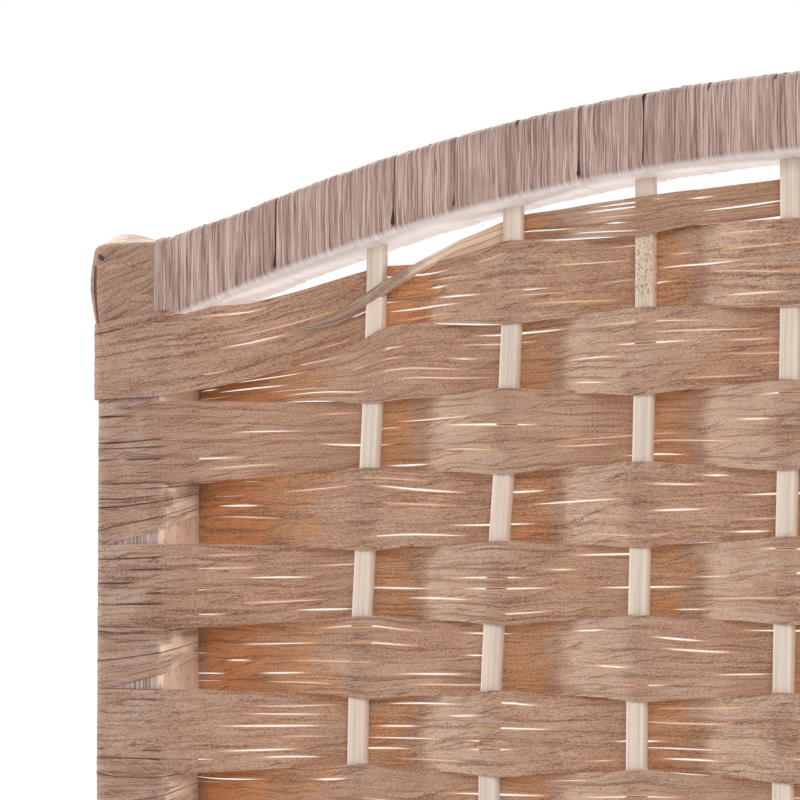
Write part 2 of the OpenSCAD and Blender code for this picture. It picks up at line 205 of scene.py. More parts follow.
def filleted(corners: list[Pair], radius: float, step: float) -> Line:
    """Line through corners with each inner corner rounded, cut into short spans.

    Args:
        corners: Corner points in plan.
        radius: Radius of the rounding.
        step: Longest span.

    Returns:
        Points of the line, one per row.
    """
    given = [np.array(c, float) for c in corners]
    kept = [given[0]]
    for before, corner, after in zip(given, given[1:], given[2:]):
        back = (before - corner) / np.linalg.norm(before - corner)
        ahead = (after - corner) / np.linalg.norm(after - corner)
        middle = corner + (back + ahead) * radius * (1 - math.sqrt(0.5))
        kept += [corner + back * radius, middle, corner + ahead * radius]
    kept.append(given[-1])
    line = [kept[0]]
    for start, end in zip(kept, kept[1:]):
        spans = max(1, math.ceil(np.linalg.norm(end - start) / step))
        line += [blend(start, end, (i + 1) / spans) for i in range(spans)]
    return np.array(line)


def linked(name: str, data: bpy.types.ID) -> Object:
    """Adds a new object to the scene.

    Args:
        name: Its name.
        data: Its mesh, lamp or camera.

    Returns:
        The new object.
    """
    made = bpy.data.objects.new(name, data)
    bpy.context.scene.collection.objects.link(made)
    return made


def aimed(thing: Object, place: Vector, ahead: Vector) -> None:
    """Puts a lamp or a camera in its place and turns it to look ahead."""
    thing.location = place
    thing.rotation_euler = ahead.to_track_quat("-Z", "Y").to_euler()


@dataclass
class Route:
    """A ribbon's middle line in plan, with the heights of its edges at every point.

    Its tint is painted light: 1 where it has a painted orange glow, -1 where it has a painted sheen
    and highlight, and 0 where it is plain brown. Its slack is 1 where it lies loose and 0 where it is
    drawn tight.
    """

    plan: Line
    top: Line
    low: Line
    tint: Line
    slack: Line

    def outward(self) -> Line:
        """Direction square to the line at every point, to the right of the way it runs."""
        along = np.gradient(self.plan, axis=0)
        return along[:, ::-1] * [1, -1] / np.linalg.norm(along, axis=1, keepdims=True)

    def mirrored(self) -> "Route":
        """The same ribbon on the other side of the panel's middle, still run from left to right."""
        plan = self.plan[::-1] * [-1, 1]
        return Route(plan, self.top[::-1], self.low[::-1], self.tint[::-1], self.slack[::-1])

    def raised(self, height: float) -> "Route":
        """The same ribbon at another height."""
        return replace(self, top=self.top + height, low=self.low + height)


@dataclass
class Panel:
    """One leaf of the screen, named as its body, with its place in the row frame."""

    name: str
    side: int
    yaw_degrees: float = 30.0

    def node(self, part: str) -> str:
        """Name of one of the panel's nodes."""
        return f"{self.name}_{part}"

    def matrix(self) -> Matrix:
        """Place of the panel's own frame in the row frame, worked out from its hinge line.

        Returns:
            The matrix that takes the panel's own places there.
        """
        own_turn = Matrix.Rotation(math.radians(self.yaw_degrees), 4, "Z")
        if self.side == 0:
            return own_turn
        wanted = "left_fold" if self.side == LEFT else "right_fold"
        joint = next(j for j in frame["joints"] if j["name"] == wanted)
        axis = Vector((joint["pos_m"][0], joint["pos_m"][1], 0))
        turn = Matrix.Rotation(math.radians(-self.yaw_degrees), 4, "Z")
        across = Vector(np.abs(own_turn.inverted() @ axis)) * self.side
        return Matrix.Translation(axis + turn @ across) @ turn


@dataclass
class Sheet:
    """One growing mesh: a table of its points for each ribbon, and its quads.

    The columns of a table are x, y and z in millimetres, the distance along and across the ribbon, a
    number of the ribbon's own, three shares that tint the finish, mostly painted light and shade, and
    shares of the length and width of the strip that the ribbon has in the flat map.
    """

    strips: int = 1
    tables: list[Line] = field(default_factory=list)
    quads: list[Line] = field(default_factory=list)

    def add(self, columns: list[Line], quads: Line) -> None:
        """Adds one ribbon.

        Args:
            columns: The columns of its table.
            quads: Its faces, as rows of four of its own points.
        """
        table = np.stack(columns, axis=1)
        across = STRIP_MARGIN + (1 - 2 * STRIP_MARGIN) * table[:, -1]
        table[:, -1] = (len(self.tables) + across) / self.strips
        self.quads.append(quads + sum(map(len, self.tables)))
        self.tables.append(table)

    def add_grid(self, *columns: Line | float, turned: bool = False) -> None:
        """Adds a surface from arrays and numbers that fill one grid together.

        Args:
            columns: The columns of its table.
            turned: True where its faces look the other way.
        """
        grids = np.broadcast_arrays(*columns)
        number = np.arange(grids[0].size).reshape(grids[0].shape)
        low, up = number[:-1], number[1:]
        corners = [low[:, :-1], low[:, 1:], up[:, 1:], up[:, :-1]]
        quads = np.stack(corners[::-1] if turned else corners, axis=-1).reshape(-1, 4)
        self.add([grid.ravel() for grid in grids], quads)


@dataclass
class SubAssembly:
    """What dresses one part of one panel in one finish."""

    panel: Panel
    finish: Material
    rng: np.random.Generator

    def piece(self, sheet: Sheet, label: str) -> Object:
        """Makes a piece and puts it in its panel.

        Args:
            sheet: Its points and quads.
            label: Its name, without the panel's.

        Returns:
            The new object.
        """
        name = f"{self.panel.name}_{label}"
        quads = np.concatenate(sheet.quads)
        points, weave, tone, flat = np.split(np.concatenate(sheet.tables), [3, 6, 9], axis=1)
        mesh = bpy.data.meshes.new(name)
        mesh.vertices.add(len(points))
        mesh.vertices.foreach_set("co", (points * MM).astype(np.float32).ravel())
        mesh.loops.add(quads.size)
        mesh.loops.foreach_set("vertex_index", quads.astype(np.int32).ravel())
        mesh.polygons.add(len(quads))
        mesh.polygons.foreach_set("loop_start", np.arange(0, quads.size, 4, dtype=np.int32))
        mesh.update(calc_edges=True)
        mesh.shade_smooth()
        for kind, values in ((WEAVE, weave), (TONE, tone)):
            made = mesh.attributes.new(kind, "FLOAT_VECTOR", "POINT")
            made.data.foreach_set("vector", values.astype(np.float32).ravel())
        flat = flat[quads.ravel()].astype(np.float32)
        mesh.uv_layers.new(name=BAKE_MAP).data.foreach_set("uv", flat.ravel())
        mesh.materials.append(self.finish)
        piece = linked(name, mesh)
        piece.matrix_world = self.panel.matrix()
        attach(piece, self.panel.name)
        return piece


@dataclass
class Ribbon(SubAssembly):
    """Split fibre ribbon along a route: strands side by side, parted here and there by slits."""

    strands: int = 7
    ribbon_w: float = 20.0
    swell: float = 0.2
    stray: float = 0.12
    stray_waves: Pair = (14, 20)
    edge_stray: float = 0.22
    edge_wave: float = 30.0
    line_stray: float = 0.2
    line_wave: float = 45.0
    slit_start: int = 12
    slit_spans: tuple[int, int] = (2, 8)
    slit_apart: int = 3
    slit_gap: float = 9.0
    slit_h: float = 0.46
    slit_heights: tuple[float, ...] = (0.15, 0.3, 0.6, 0.85, 1.0)
    slit_round: float = 0.75
    slit_shut: float = 0.01
    slit_tight: float = 0.35
    # Painted glow beside the slits.
    glow_reach: float = 3.0
    glow_mid: float = 0.12
    # Wavy edges of the painted orange glow and sheen.
    tint_stray: float = 2.2
    tint_wave: float = 30.0
    turn_slack: float = 0.3
    # Painted shade in the creases where the ribbon is drawn tight, darker beside the slits.
    folds: tuple[float, ...] = (0.0, 0.45, 0.85, 1.05)
    fold_stray: float = 0.25
    fold_wave: float = 12.0
    fold_at_slit: float = 0.5
    fold_most: float = 1.08

    def slits(self, points: int) -> tuple[Line, Line]:
        """Chooses where the strands part.

        Args:
            points: Number of points along the ribbon.

        Returns:
            Height of the opening, and how near an opening is, for each line between strands.
        """
        opening, nearness = np.zeros((2, self.strands + 1, points))
        place = np.arange(points)
        least, most = self.slit_spans
        for line in range(1, self.strands):
            start = int(self.rng.integers(0, self.slit_start))
            while start < points - most - 2:
                spans = int(self.rng.integers(least, most + 1))
                height = self.slit_h * self.rng.choice(self.slit_heights)
                inside = place[start : start + spans + 1]
                lens = np.sin(np.pi * (inside - start) / spans) ** self.slit_round
                opening[line, inside] = np.where(lens > self.slit_shut, lens * height, 0)
                off = np.maximum(np.maximum(start - place, place - start - spans), 0)
                nearness[line] = np.maximum(nearness[line], np.exp(-off / self.glow_reach))
                start += spans + self.slit_apart + int(self.rng.exponential(self.slit_gap))
        return opening, nearness

    def wanders(self, lines: int, along: Line, wave: float, amount: float) -> Line:
        """A slow random rise and fall for each of several lines."""
        return np.array([wander(self.rng, along, wave, amount) for _ in range(lines)])

    def lay(self, sheet: Sheet, route: Route) -> None:
        """Adds one ribbon to a sheet.

        Args:
            sheet: Sheet that the ribbon goes into.
            route: Its way and its edges.
        """
        along, slack = travel(route.plan), route.slack
        count, lines = len(along), self.strands + 1
        seed = self.rng.uniform(0, SEED_MOST)
        share = np.arange(lines)[:, None] / self.strands * np.ones(count)
        share[1:-1] += self.wanders(lines - 2, along, self.line_wave, self.line_stray / self.strands)
        opening, nearness = self.slits(count)
        opening *= blend(self.slit_tight, 1, slack)
        top = route.top + wander(self.rng, along, self.edge_wave, self.edge_stray)
        low = route.low + wander(self.rng, along, self.edge_wave, self.edge_stray)
        edge_z = low + share * (top - low)
        mid_share = halfway(share)
        mid_wave, edge_wave = self.stray_waves
        swell = self.swell * (top - low) / self.ribbon_w
        mid_out = slack * (swell + self.wanders(self.strands, along, mid_wave, self.stray))
        edge_out = slack * self.wanders(lines, along, edge_wave, self.stray)
        split = opening > 0
        base = np.arange(lines * count).reshape(lines, count)
        middle = np.arange(self.strands * count).reshape(self.strands, count) + base.size
        above = base.copy()
        above[split] = np.arange(split.sum()) + base.size + middle.size

        def told(edge: Line, mid: Line) -> Line:
            """Numbers of all points, from those of the lines between strands and of their middles."""
            edge, mid = np.broadcast_to(edge, share.shape), np.broadcast_to(mid, mid_share.shape)
            return np.concatenate([edge.ravel(), mid.ravel(), edge[split]])

        out = told(edge_out, mid_out)
        x, y = (told(way, way) + told(off, off) * out for way, off in zip(route.plan.T, route.outward().T))
        gap = np.concatenate([-opening.ravel(), np.zeros(middle.size), opening[split]])
        quads = np.concatenate([
            np.stack([lower[:-1], lower[1:], upper[1:], upper[:-1]], axis=1)
            for strand in range(self.strands)
            for lower, upper in (
                (above[strand], middle[strand]), (middle[strand], base[strand + 1]))])
        # Painted orange glow and sheen along the ribbon, with wavy edges.
        stray = self.wanders(lines, along, self.tint_wave, self.tint_stray)
        tint = np.interp(along + stray, along, route.tint)
        # Painted glow beside the slits, only where the ribbon lies loose.
        painted_glow = nearness * eased(slack * 2 - 1)
        # Painted shade in the creases, only where the ribbon is drawn tight.
        painted_crease_shade = self.rng.choice(self.folds, lines)[:, None]
        painted_crease_shade = painted_crease_shade * (1 + self.wanders(lines, along, self.fold_wave, self.fold_stray))
        painted_crease_shade = np.minimum(painted_crease_shade + self.fold_at_slit * nearness, self.fold_most)
        painted_crease_shade *= (1 - slack) / (1 - self.turn_slack)
        run, across = told(along, along), told(share, mid_share)
        sheet.add([
            x, y, told(edge_z, halfway(edge_z)) + gap / 2,
            run, told(share * self.ribbon_w, mid_share * self.ribbon_w), told(seed, seed),
            told(tint, halfway(tint)), told(painted_glow, np.maximum(painted_glow[1:], painted_glow[:-1]) * self.glow_mid),
            told(painted_crease_shade, 0), run / along[-1], across], quads)


@dataclass
class Weave(Ribbon):
    """The rows that are woven over the stakes and turned round the stiles."""

    step: float = 3.5
    stake_spans: int = 12
    end_spans: int = 17
    ply: float = 0.55
    over: float = 0.78
    corner: float = 1.3
    depth: float = 2.85
    steepness: float = 1.5
    bulge: float = 1.25
    pinch: float = 0.35
    bulge_reach: float = 10.0
    half_row: float = 10.12
    slack_start: float = 4.0
    slack_reach: float = 22.0
    lap: float = 1.0
    back_off: float = 0.35
    front_off: float = 0.2
    leave_off: float = 0.15
    loose_round: Pair = (0.9, 0.5)
    near_from: float = 45.0
    near_reach: float = 40.0
    near_top: float = 0.9
    near_low: float = 1.8
    back_top: float = -10.0
    back_low: float = -19.5
    back_from: float = 0.05
    back_reach: float = 0.3
    turn_drop: Pair = (1.2, 4)
    turn_lift: Pair = (0.8, 5)
    turn_taper: float = 4.6
    inner_rise: Pair = (1.0, 5.0)
    inner_off: float = 0.45
    inner_end: float = 2.0
    outer_from: float = 2.0
    # Painted highlight on a row's inner turn and over the stiles, and the reach of the painted orange glow
    # and then sheen beside stakes and beside the left stile.
    painted_inner_highlight: float = -1.7
    painted_stile_highlight: float = -0.4
    tint_reach: tuple = (-6, 0, 10, 13.5, 18, 25, 33, 46)
    tint_share: tuple = (0, 0.9, 0.9, 0, -0.8, -1, -0.8, 0)
    stile_reach: tuple = (1.0, 2.5, 14, 34, 62)
    stile_share: tuple = (0, 1.9, 1.7, 1.0, 0)
    free_loose: float = 1.6

    def __post_init__(self) -> None:
        """Works out the places that every row shares."""
        self.stake_x = SIZES.stakes
        outer, spans = self.stake_x[0], self.stake_spans
        inner = outer - SIZES.stake_pitch / spans * np.arange(1, self.end_spans + 1)
        between = np.linspace(outer, -outer, (SIZES.stake_count - 1) * spans + 1)
        self.span_x = np.concatenate([inner[::-1], between, -inner])

    def sides(self, first: Passes) -> Line:
        """Side of each stake that a row passes, minus at the front and plus at the back."""
        return first.value * (-1) ** np.arange(SIZES.stake_count)

    def loose(self, side: int) -> float:
        """How far the rows stand off the outer side of a stile, which is free if it has no hinges."""
        return self.free_loose if self.panel.side == side else 0.0

    def depth_at(self, x: Line, first: Passes, over: float) -> Line:
        """Depth of a row that swings from stake to stake.

        Args:
            x: Places along the panel.
            first: Side of the outer left stake that it passes.
            over: Distance from the wood at which it leaves the stiles.

        Returns:
            Its places from front to back.
        """
        place = (x - self.stake_x[0]) / SIZES.stake_pitch
        swing = np.tanh(self.steepness * np.cos(np.pi * place)) / math.tanh(self.steepness)
        y = first.value * self.depth * swing
        for side, stake in ((LEFT, 0), (RIGHT, -1)):
            passed, stake_x = self.sides(first)[stake], self.stake_x[stake] * side
            share = np.clip((x * side - stake_x) / (SIZES.inner_x - stake_x), 0, 1)
            reach = 1 - np.sin((1 - share) * np.pi / 2)
            leaving = blend(passed * self.depth, -passed * (SIZES.half_t + over), reach)
            y = np.where(share > 0, leaving, y)
        return y

    def swell_at(self, x: Line, first: Passes) -> Line:
        """How far a row's edges spread where it passes in front of a stake, or draw in behind one."""
        amounts = np.where(self.sides(first) < 0, self.bulge, -self.pinch)
        return sum(by * hump(x, centre, self.bulge_reach) for by, centre in zip(amounts, self.stake_x))

    def tint_at(self, x: Line, first: Passes) -> Line:
        """Painted light of a row: orange glow where it comes out from behind a stake or the left stile, then
        sheen.

        Args:
            x: Places along the panel.
            first: Side of the outer left stake that it passes.

        Returns:
            One tint for each place.
        """
        behind = self.stake_x[self.sides(first) > 0]
        tint = sum(np.interp(x - centre, self.tint_reach, self.tint_share, 0, 0) for centre in behind)
        from_stile = np.interp(x + SIZES.inner_x, self.stile_reach, self.stile_share, 0, 0)
        return tint + from_stile * (first is Passes.FRONT)

    def turned_painted_highlight(self, x: Line) -> Line:
        """Painted highlight that a row's turn along the inner side of a stile and round it adds to its tint.
        """
        inner, outer = SIZES.inner_x - self.inner_off, SIZES.inner_x + self.outer_from
        return self.painted_inner_highlight * np.isclose(np.abs(x), inner) + self.painted_stile_highlight * (np.abs(x) > outer)

    def slack_over(self, left: Line, middle: Line, right: Line) -> Line:
        """How loose a ribbon lies: 1 between the stiles, less where it is drawn round them.

        Args:
            left: Plan of its turn round the left stile.
            middle: Plan between the stiles.
            right: Plan of its turn round the right stile.

        Returns:
            One share for each point.
        """
        from_stile = SIZES.inner_x + self.slack_start - np.abs(middle[:, 0])
        between = blend(self.turn_slack, 1, eased(from_stile / self.slack_reach))
        return np.concatenate([
            np.full(len(left), self.turn_slack), between, np.full(len(right), self.turn_slack)])

    def left_turn(self, loose: float) -> tuple[Line, Line, Line]:
        """Turn of an odd row from the back of the left stile to its front.

        Args:
            loose: How far it stands off the outer side of the stile.

        Returns:
            Its plan, and the heights of its upper and its lower edge.
        """
        start, back = -SIZES.inner_x - self.lap, SIZES.half_t + self.back_off
        out, front = -SIZES.half_w - self.ply - loose, -SIZES.half_t - self.ply - self.front_off
        plan = filleted(
            [(start, back), (out, back), (out, front), (start, -SIZES.half_t - self.over)],
            self.corner + loose * self.loose_round[0], self.step)
        on_front = eased((np.linspace(0, 1, len(plan)) - self.back_from) / self.back_reach)
        top = blend(self.back_top, self.half_row + self.near_top, on_front)
        return plan, top, blend(self.back_low, -self.half_row - self.near_low, on_front)

    def right_turn(self, loose: float) -> tuple[Line, Line, Line]:
        """Turn of an odd row from the back of the right stile over its front to its inner side.

        Args:
            loose: How far it stands off the outer side of the stile.

        Returns:
            Its plan, and the heights of its upper and its lower edge.
        """
        half_t, deep, inner = SIZES.half_t, SIZES.half_t + self.ply, SIZES.inner_x - self.inner_off
        start, back = SIZES.inner_x + self.lap, half_t + self.over + self.leave_off
        out, front = SIZES.half_w + self.ply + loose, self.front_off - deep
        plan = filleted(
            [(start, back), (out, back), (out, front), (inner, front), (inner, half_t - self.inner_end)],
            self.corner + loose * self.loose_round[1], self.step)
        x, y = plan.T
        on_front = np.arange(len(plan)) > np.argmin(y) - 1
        across = np.where(on_front, (SIZES.half_w - x) / SIZES.stock, 0)
        inside = np.where(on_front & (x < SIZES.inner_x), (y + deep) / SIZES.stock, 0)
        (drop, drop_rate), (lift, lift_rate) = self.turn_drop, self.turn_lift
        top = self.half_row - drop * eased(across * drop_rate) + self.inner_rise[0] * inside
        low = lift * eased(across * lift_rate) + self.turn_taper * np.clip(across, 0, 1) - self.half_row
        return plan, top, low + self.inner_rise[1] * inside

    def level_route(self, first: Passes) -> Route:
        """Route of a level row about height 0.

        Args:
            first: Side of the outer left stake that it passes. The row that passes it at the back
                runs in front of the left stile and behind the right one, and the other mirrors it.

        Returns:
            The route, run from left to right.
        """
        near, far = (LEFT, RIGHT) if first is Passes.BACK else (RIGHT, LEFT)
        left, left_top, left_low = self.left_turn(self.loose(near))
        right, right_top, right_low = self.right_turn(self.loose(far))
        x = self.span_x
        middle = np.stack([x, self.depth_at(x, Passes.BACK, self.over)], axis=1)
        half = self.half_row + self.swell_at(x, Passes.BACK)
        spread = eased((self.near_from - x - SIZES.inner_x) / self.near_reach)
        top = np.concatenate([left_top, half + self.near_top * spread, right_top])
        low = np.concatenate([left_low, -half - self.near_low * spread, right_low])
        slack = self.slack_over(left, middle, right)
        route = Route(np.concatenate([left, middle, right]), top, low, 0 * slack, slack)
        route = route if first is Passes.BACK else route.mirrored()
        x = route.plan[:, 0]
        return replace(route, tint=self.tint_at(x, first) + self.turned_painted_highlight(x))

    def level_rows(self, first: int, part: str) -> Object:
        """Every second level row of the panel as one piece.

        Args:
            first: Number of the first of these rows.
            part: Name of the node that they replace, without the panel's.

        Returns:
            The new object.
        """
        numbers = range(first, SIZES.row_count, 2)
        sheet = Sheet(strips=len(numbers))
        route = self.level_route(Passes.FRONT if first % 2 else Passes.BACK)
        for row in numbers:
            self.lay(sheet, route.raised(SIZES.level_z - (row + 0.5) * SIZES.row_pitch))
        piece = self.piece(sheet, f"woven_{part}")
        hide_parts(self.panel.node(part))
        return piece


@dataclass
class ArchedRows(Weave):
    """The three rows under the arched rail, whose edges are depths under the top of the stiles."""

    second_top: tuple = (
        (-226, -20.7), (-213, -18.6), (-205, -17.7), (-197, -17.2), (-182, -16.6), (-165, -13.2),
        (-148, -9.2), (-141, -7.9), (-124, -7.6), (-108, -5.5), (-101, -3.4), (-86, -4.2),
        (-64, -3.1), (-52, -1.4), (-20, -1.2), (0, -1.2))
    second_low: tuple = (
        (-226, -42.2), (-205, -41.7), (-194, -39.9), (-182, -37.3), (-165, -33.1), (-150, -29.3),
        (-141, -24.6), (-124, -23.9), (-102, -25.3), (-75, -23.6), (-46, -22.9), (-20, -24.2),
        (0, -23.4))
    third_top: tuple = (
        (-226, -36), (-204, -36), (-170, -33), (-156, -31.2), (-148, -29.8), (-143, -27),
        (-138, -24.9), (-130, -23.9), (-106, -24.4), (-73, -23.4), (-61, -22.4), (-23, -23.4),
        (0, -23.2))
    first_top: tuple = (
        (-103, 3.4), (-98, 4.4), (-74, 6.0), (-61, 6.6), (-44, 7.4), (-35, 8.5), (-21, 9.7), (0, 10.3))
    first_low: tuple = (
        (-103, -3.0), (-97, -2.6), (-74, -3.5), (-61, -3.9), (-50, -1.9), (-21, 0.3), (0, 0.6))
    roll_x: tuple = (-169, -156, -143.5, -128, -118, -106, -101)
    roll_mid: tuple = (-24.2, -21.6, -16.2, -8.3, -3.6, -0.6, 0.2)
    roll_w: tuple = (1.6, 8.0, 12.0, 8.4, 8.5, 8.8, 8.0)
    roll_curl: tuple = (2.5, 4.6, 5.6, 5.6, 3.6, 2.0, 1.6)
    roll_twist: tuple = (0.0, 0.5, 1.4, 1.0, 0.4, 0.1, 0.0)
    roll_spans: int = 14
    roll_points: int = 46
    roll_weave_w: float = 14.0
    roll_part: float = 30.0
    # Painted shade in the roll's creases and painted highlight over the roll.
    roll_crease: float = 1.06
    roll_painted_highlight: float = -0.9
    roll_off: Pair = (0.45, 0.3)
    folds_apart: int = 3
    first_lap: float = 2.0
    # Painted highlight where the roll fans out.
    fan_painted_highlight: float = -1.6
    fan_reach: float = 15.0
    double: float = 1.35
    # Extra painted orange glow on the second row just past the first stake.
    extra_painted_glow: float = 1.7
    extra_painted_glow_x: float = -126.0
    extra_painted_glow_reach: float = 11.0
    second_out: float = 0.9
    second_off: float = 0.2
    second_round: float = 1.2
    second_loose: float = 1.5
    third_rise: float = 4.0
    third_least: float = 3.0

    def edge(self, knots: tuple, x: Line) -> Line:
        """Height of an edge that is given for the left half and is the same on the right."""
        places, depths = np.array(knots, float).T
        return SIZES.stile_h + np.interp(-np.abs(x), places, depths)

    def second_depth(self, x: Line) -> Line:
        """Depth of the second row between the stiles."""
        return self.depth_at(x, Passes.BACK, self.double)

    def second(self) -> Route:
        """Second row: wide over the front of the left stile and the back of the right one.

        Returns:
            Its route.
        """
        start, deep = -SIZES.inner_x - self.lap, SIZES.half_t + self.double
        turns = []
        for side in (LEFT, RIGHT):
            out = -SIZES.half_w - self.second_out - self.loose(side) * self.second_loose
            back = deep - self.second_off
            turns.append(filleted([(start, back), (out, back), (out, -deep), (start, -deep)],
                                  self.second_round + self.loose(side), self.step))
        left, right = turns[0], turns[1][::-1] * -1
        middle = np.stack([self.span_x, self.second_depth(self.span_x)], axis=1)
        plan = np.concatenate([left, middle, right])
        x = plan[:, 0]
        # Painted orange glow and sheen, with extra painted glow past the first stake.
        tint = self.tint_at(x, Passes.BACK) + self.extra_painted_glow * hump(x, self.extra_painted_glow_x, self.extra_painted_glow_reach)
        return Route(plan, self.edge(self.second_top, x), self.edge(self.second_low, x), tint,
                     self.slack_over(left, middle, right))

    def third(self) -> Route:
        """Third row: an even row whose upper edge dips at the stiles to lie under the second.

        Returns:
            Its route.
        """
        level = self.level_route(Passes.FRONT).raised(SIZES.level_z + SIZES.row_pitch / 2)
        top = np.minimum(level.top + self.third_rise, self.edge(self.third_top, level.plan[:, 0]))
        return replace(level, top=top, low=np.minimum(level.low, top - self.third_least))

    def first(self) -> Route:
        """Flat stretch of the first row, between the places where it is twisted into a roll.

        Returns:
            Its route.
        """
        x = self.span_x[np.abs(self.span_x) < self.first_lap - self.roll_x[-1]]
        plan = np.stack([x, self.depth_at(x, Passes.FRONT, self.double)], axis=1)
        return Route(plan, self.edge(self.first_top, x), self.edge(self.first_low, x),
                     self.tint_at(x, Passes.FRONT), np.ones(len(x)))

    def roll(self, sheet: Sheet, side: int) -> None:
        """Adds one twisted end of the first row, which parts from the face of the second row.

        Args:
            sheet: Sheet that it goes into.
            side: Left or right end. The right one is the left one turned half round.
        """
        seed = float(self.rng.uniform(0, SEED_MOST))
        x = np.linspace(self.roll_x[0], self.roll_x[-1], self.roll_points)
        width, curl, middle, twist = (
            np.interp(x, self.roll_x, knots)
            for knots in (self.roll_w, self.roll_curl, self.roll_mid, self.roll_twist))
        off_second, off_woven = self.roll_off
        y = blend(self.second_depth(x) - off_second, self.depth_at(x, Passes.FRONT, self.double) - off_woven,
                  eased((x - x[0]) / self.roll_part))
        across = np.linspace(-0.5, 0.5, self.roll_spans + 1)[:, None]
        radius = width / curl
        angle = across * curl + twist * side
        y = y + radius * (1 - np.cos(angle))
        z = SIZES.stile_h + middle + radius * np.sin(angle)
        # Painted highlight where the roll fans out, and painted shade along some lines across it.
        fan = hump(x, (self.roll_x[-1] + self.roll_x[3]) / 2, self.fan_reach)
        creases = self.roll_crease * (np.arange(self.roll_spans + 1) % self.folds_apart == 1)[:, None]
        run, across = x - x[0], across + 0.5
        sheet.add_grid(
            x * -side, y * -side, z, run, across * self.roll_weave_w, seed,
            self.roll_painted_highlight + self.fan_painted_highlight * fan, 0, creases, run / run[-1], across)

    def rows(self) -> Object:
        """The three rows of the panel as one piece.

        Returns:
            The new object.
        """
        sheet = Sheet(strips=5)
        for route in (self.third(), self.second(), self.first()):
            self.lay(sheet, route)
        for side in (LEFT, RIGHT):
            self.roll(sheet, side)
        piece = self.piece(sheet, "woven_arched_rows")
        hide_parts(self.panel.node("arched_rows"))
        return piece


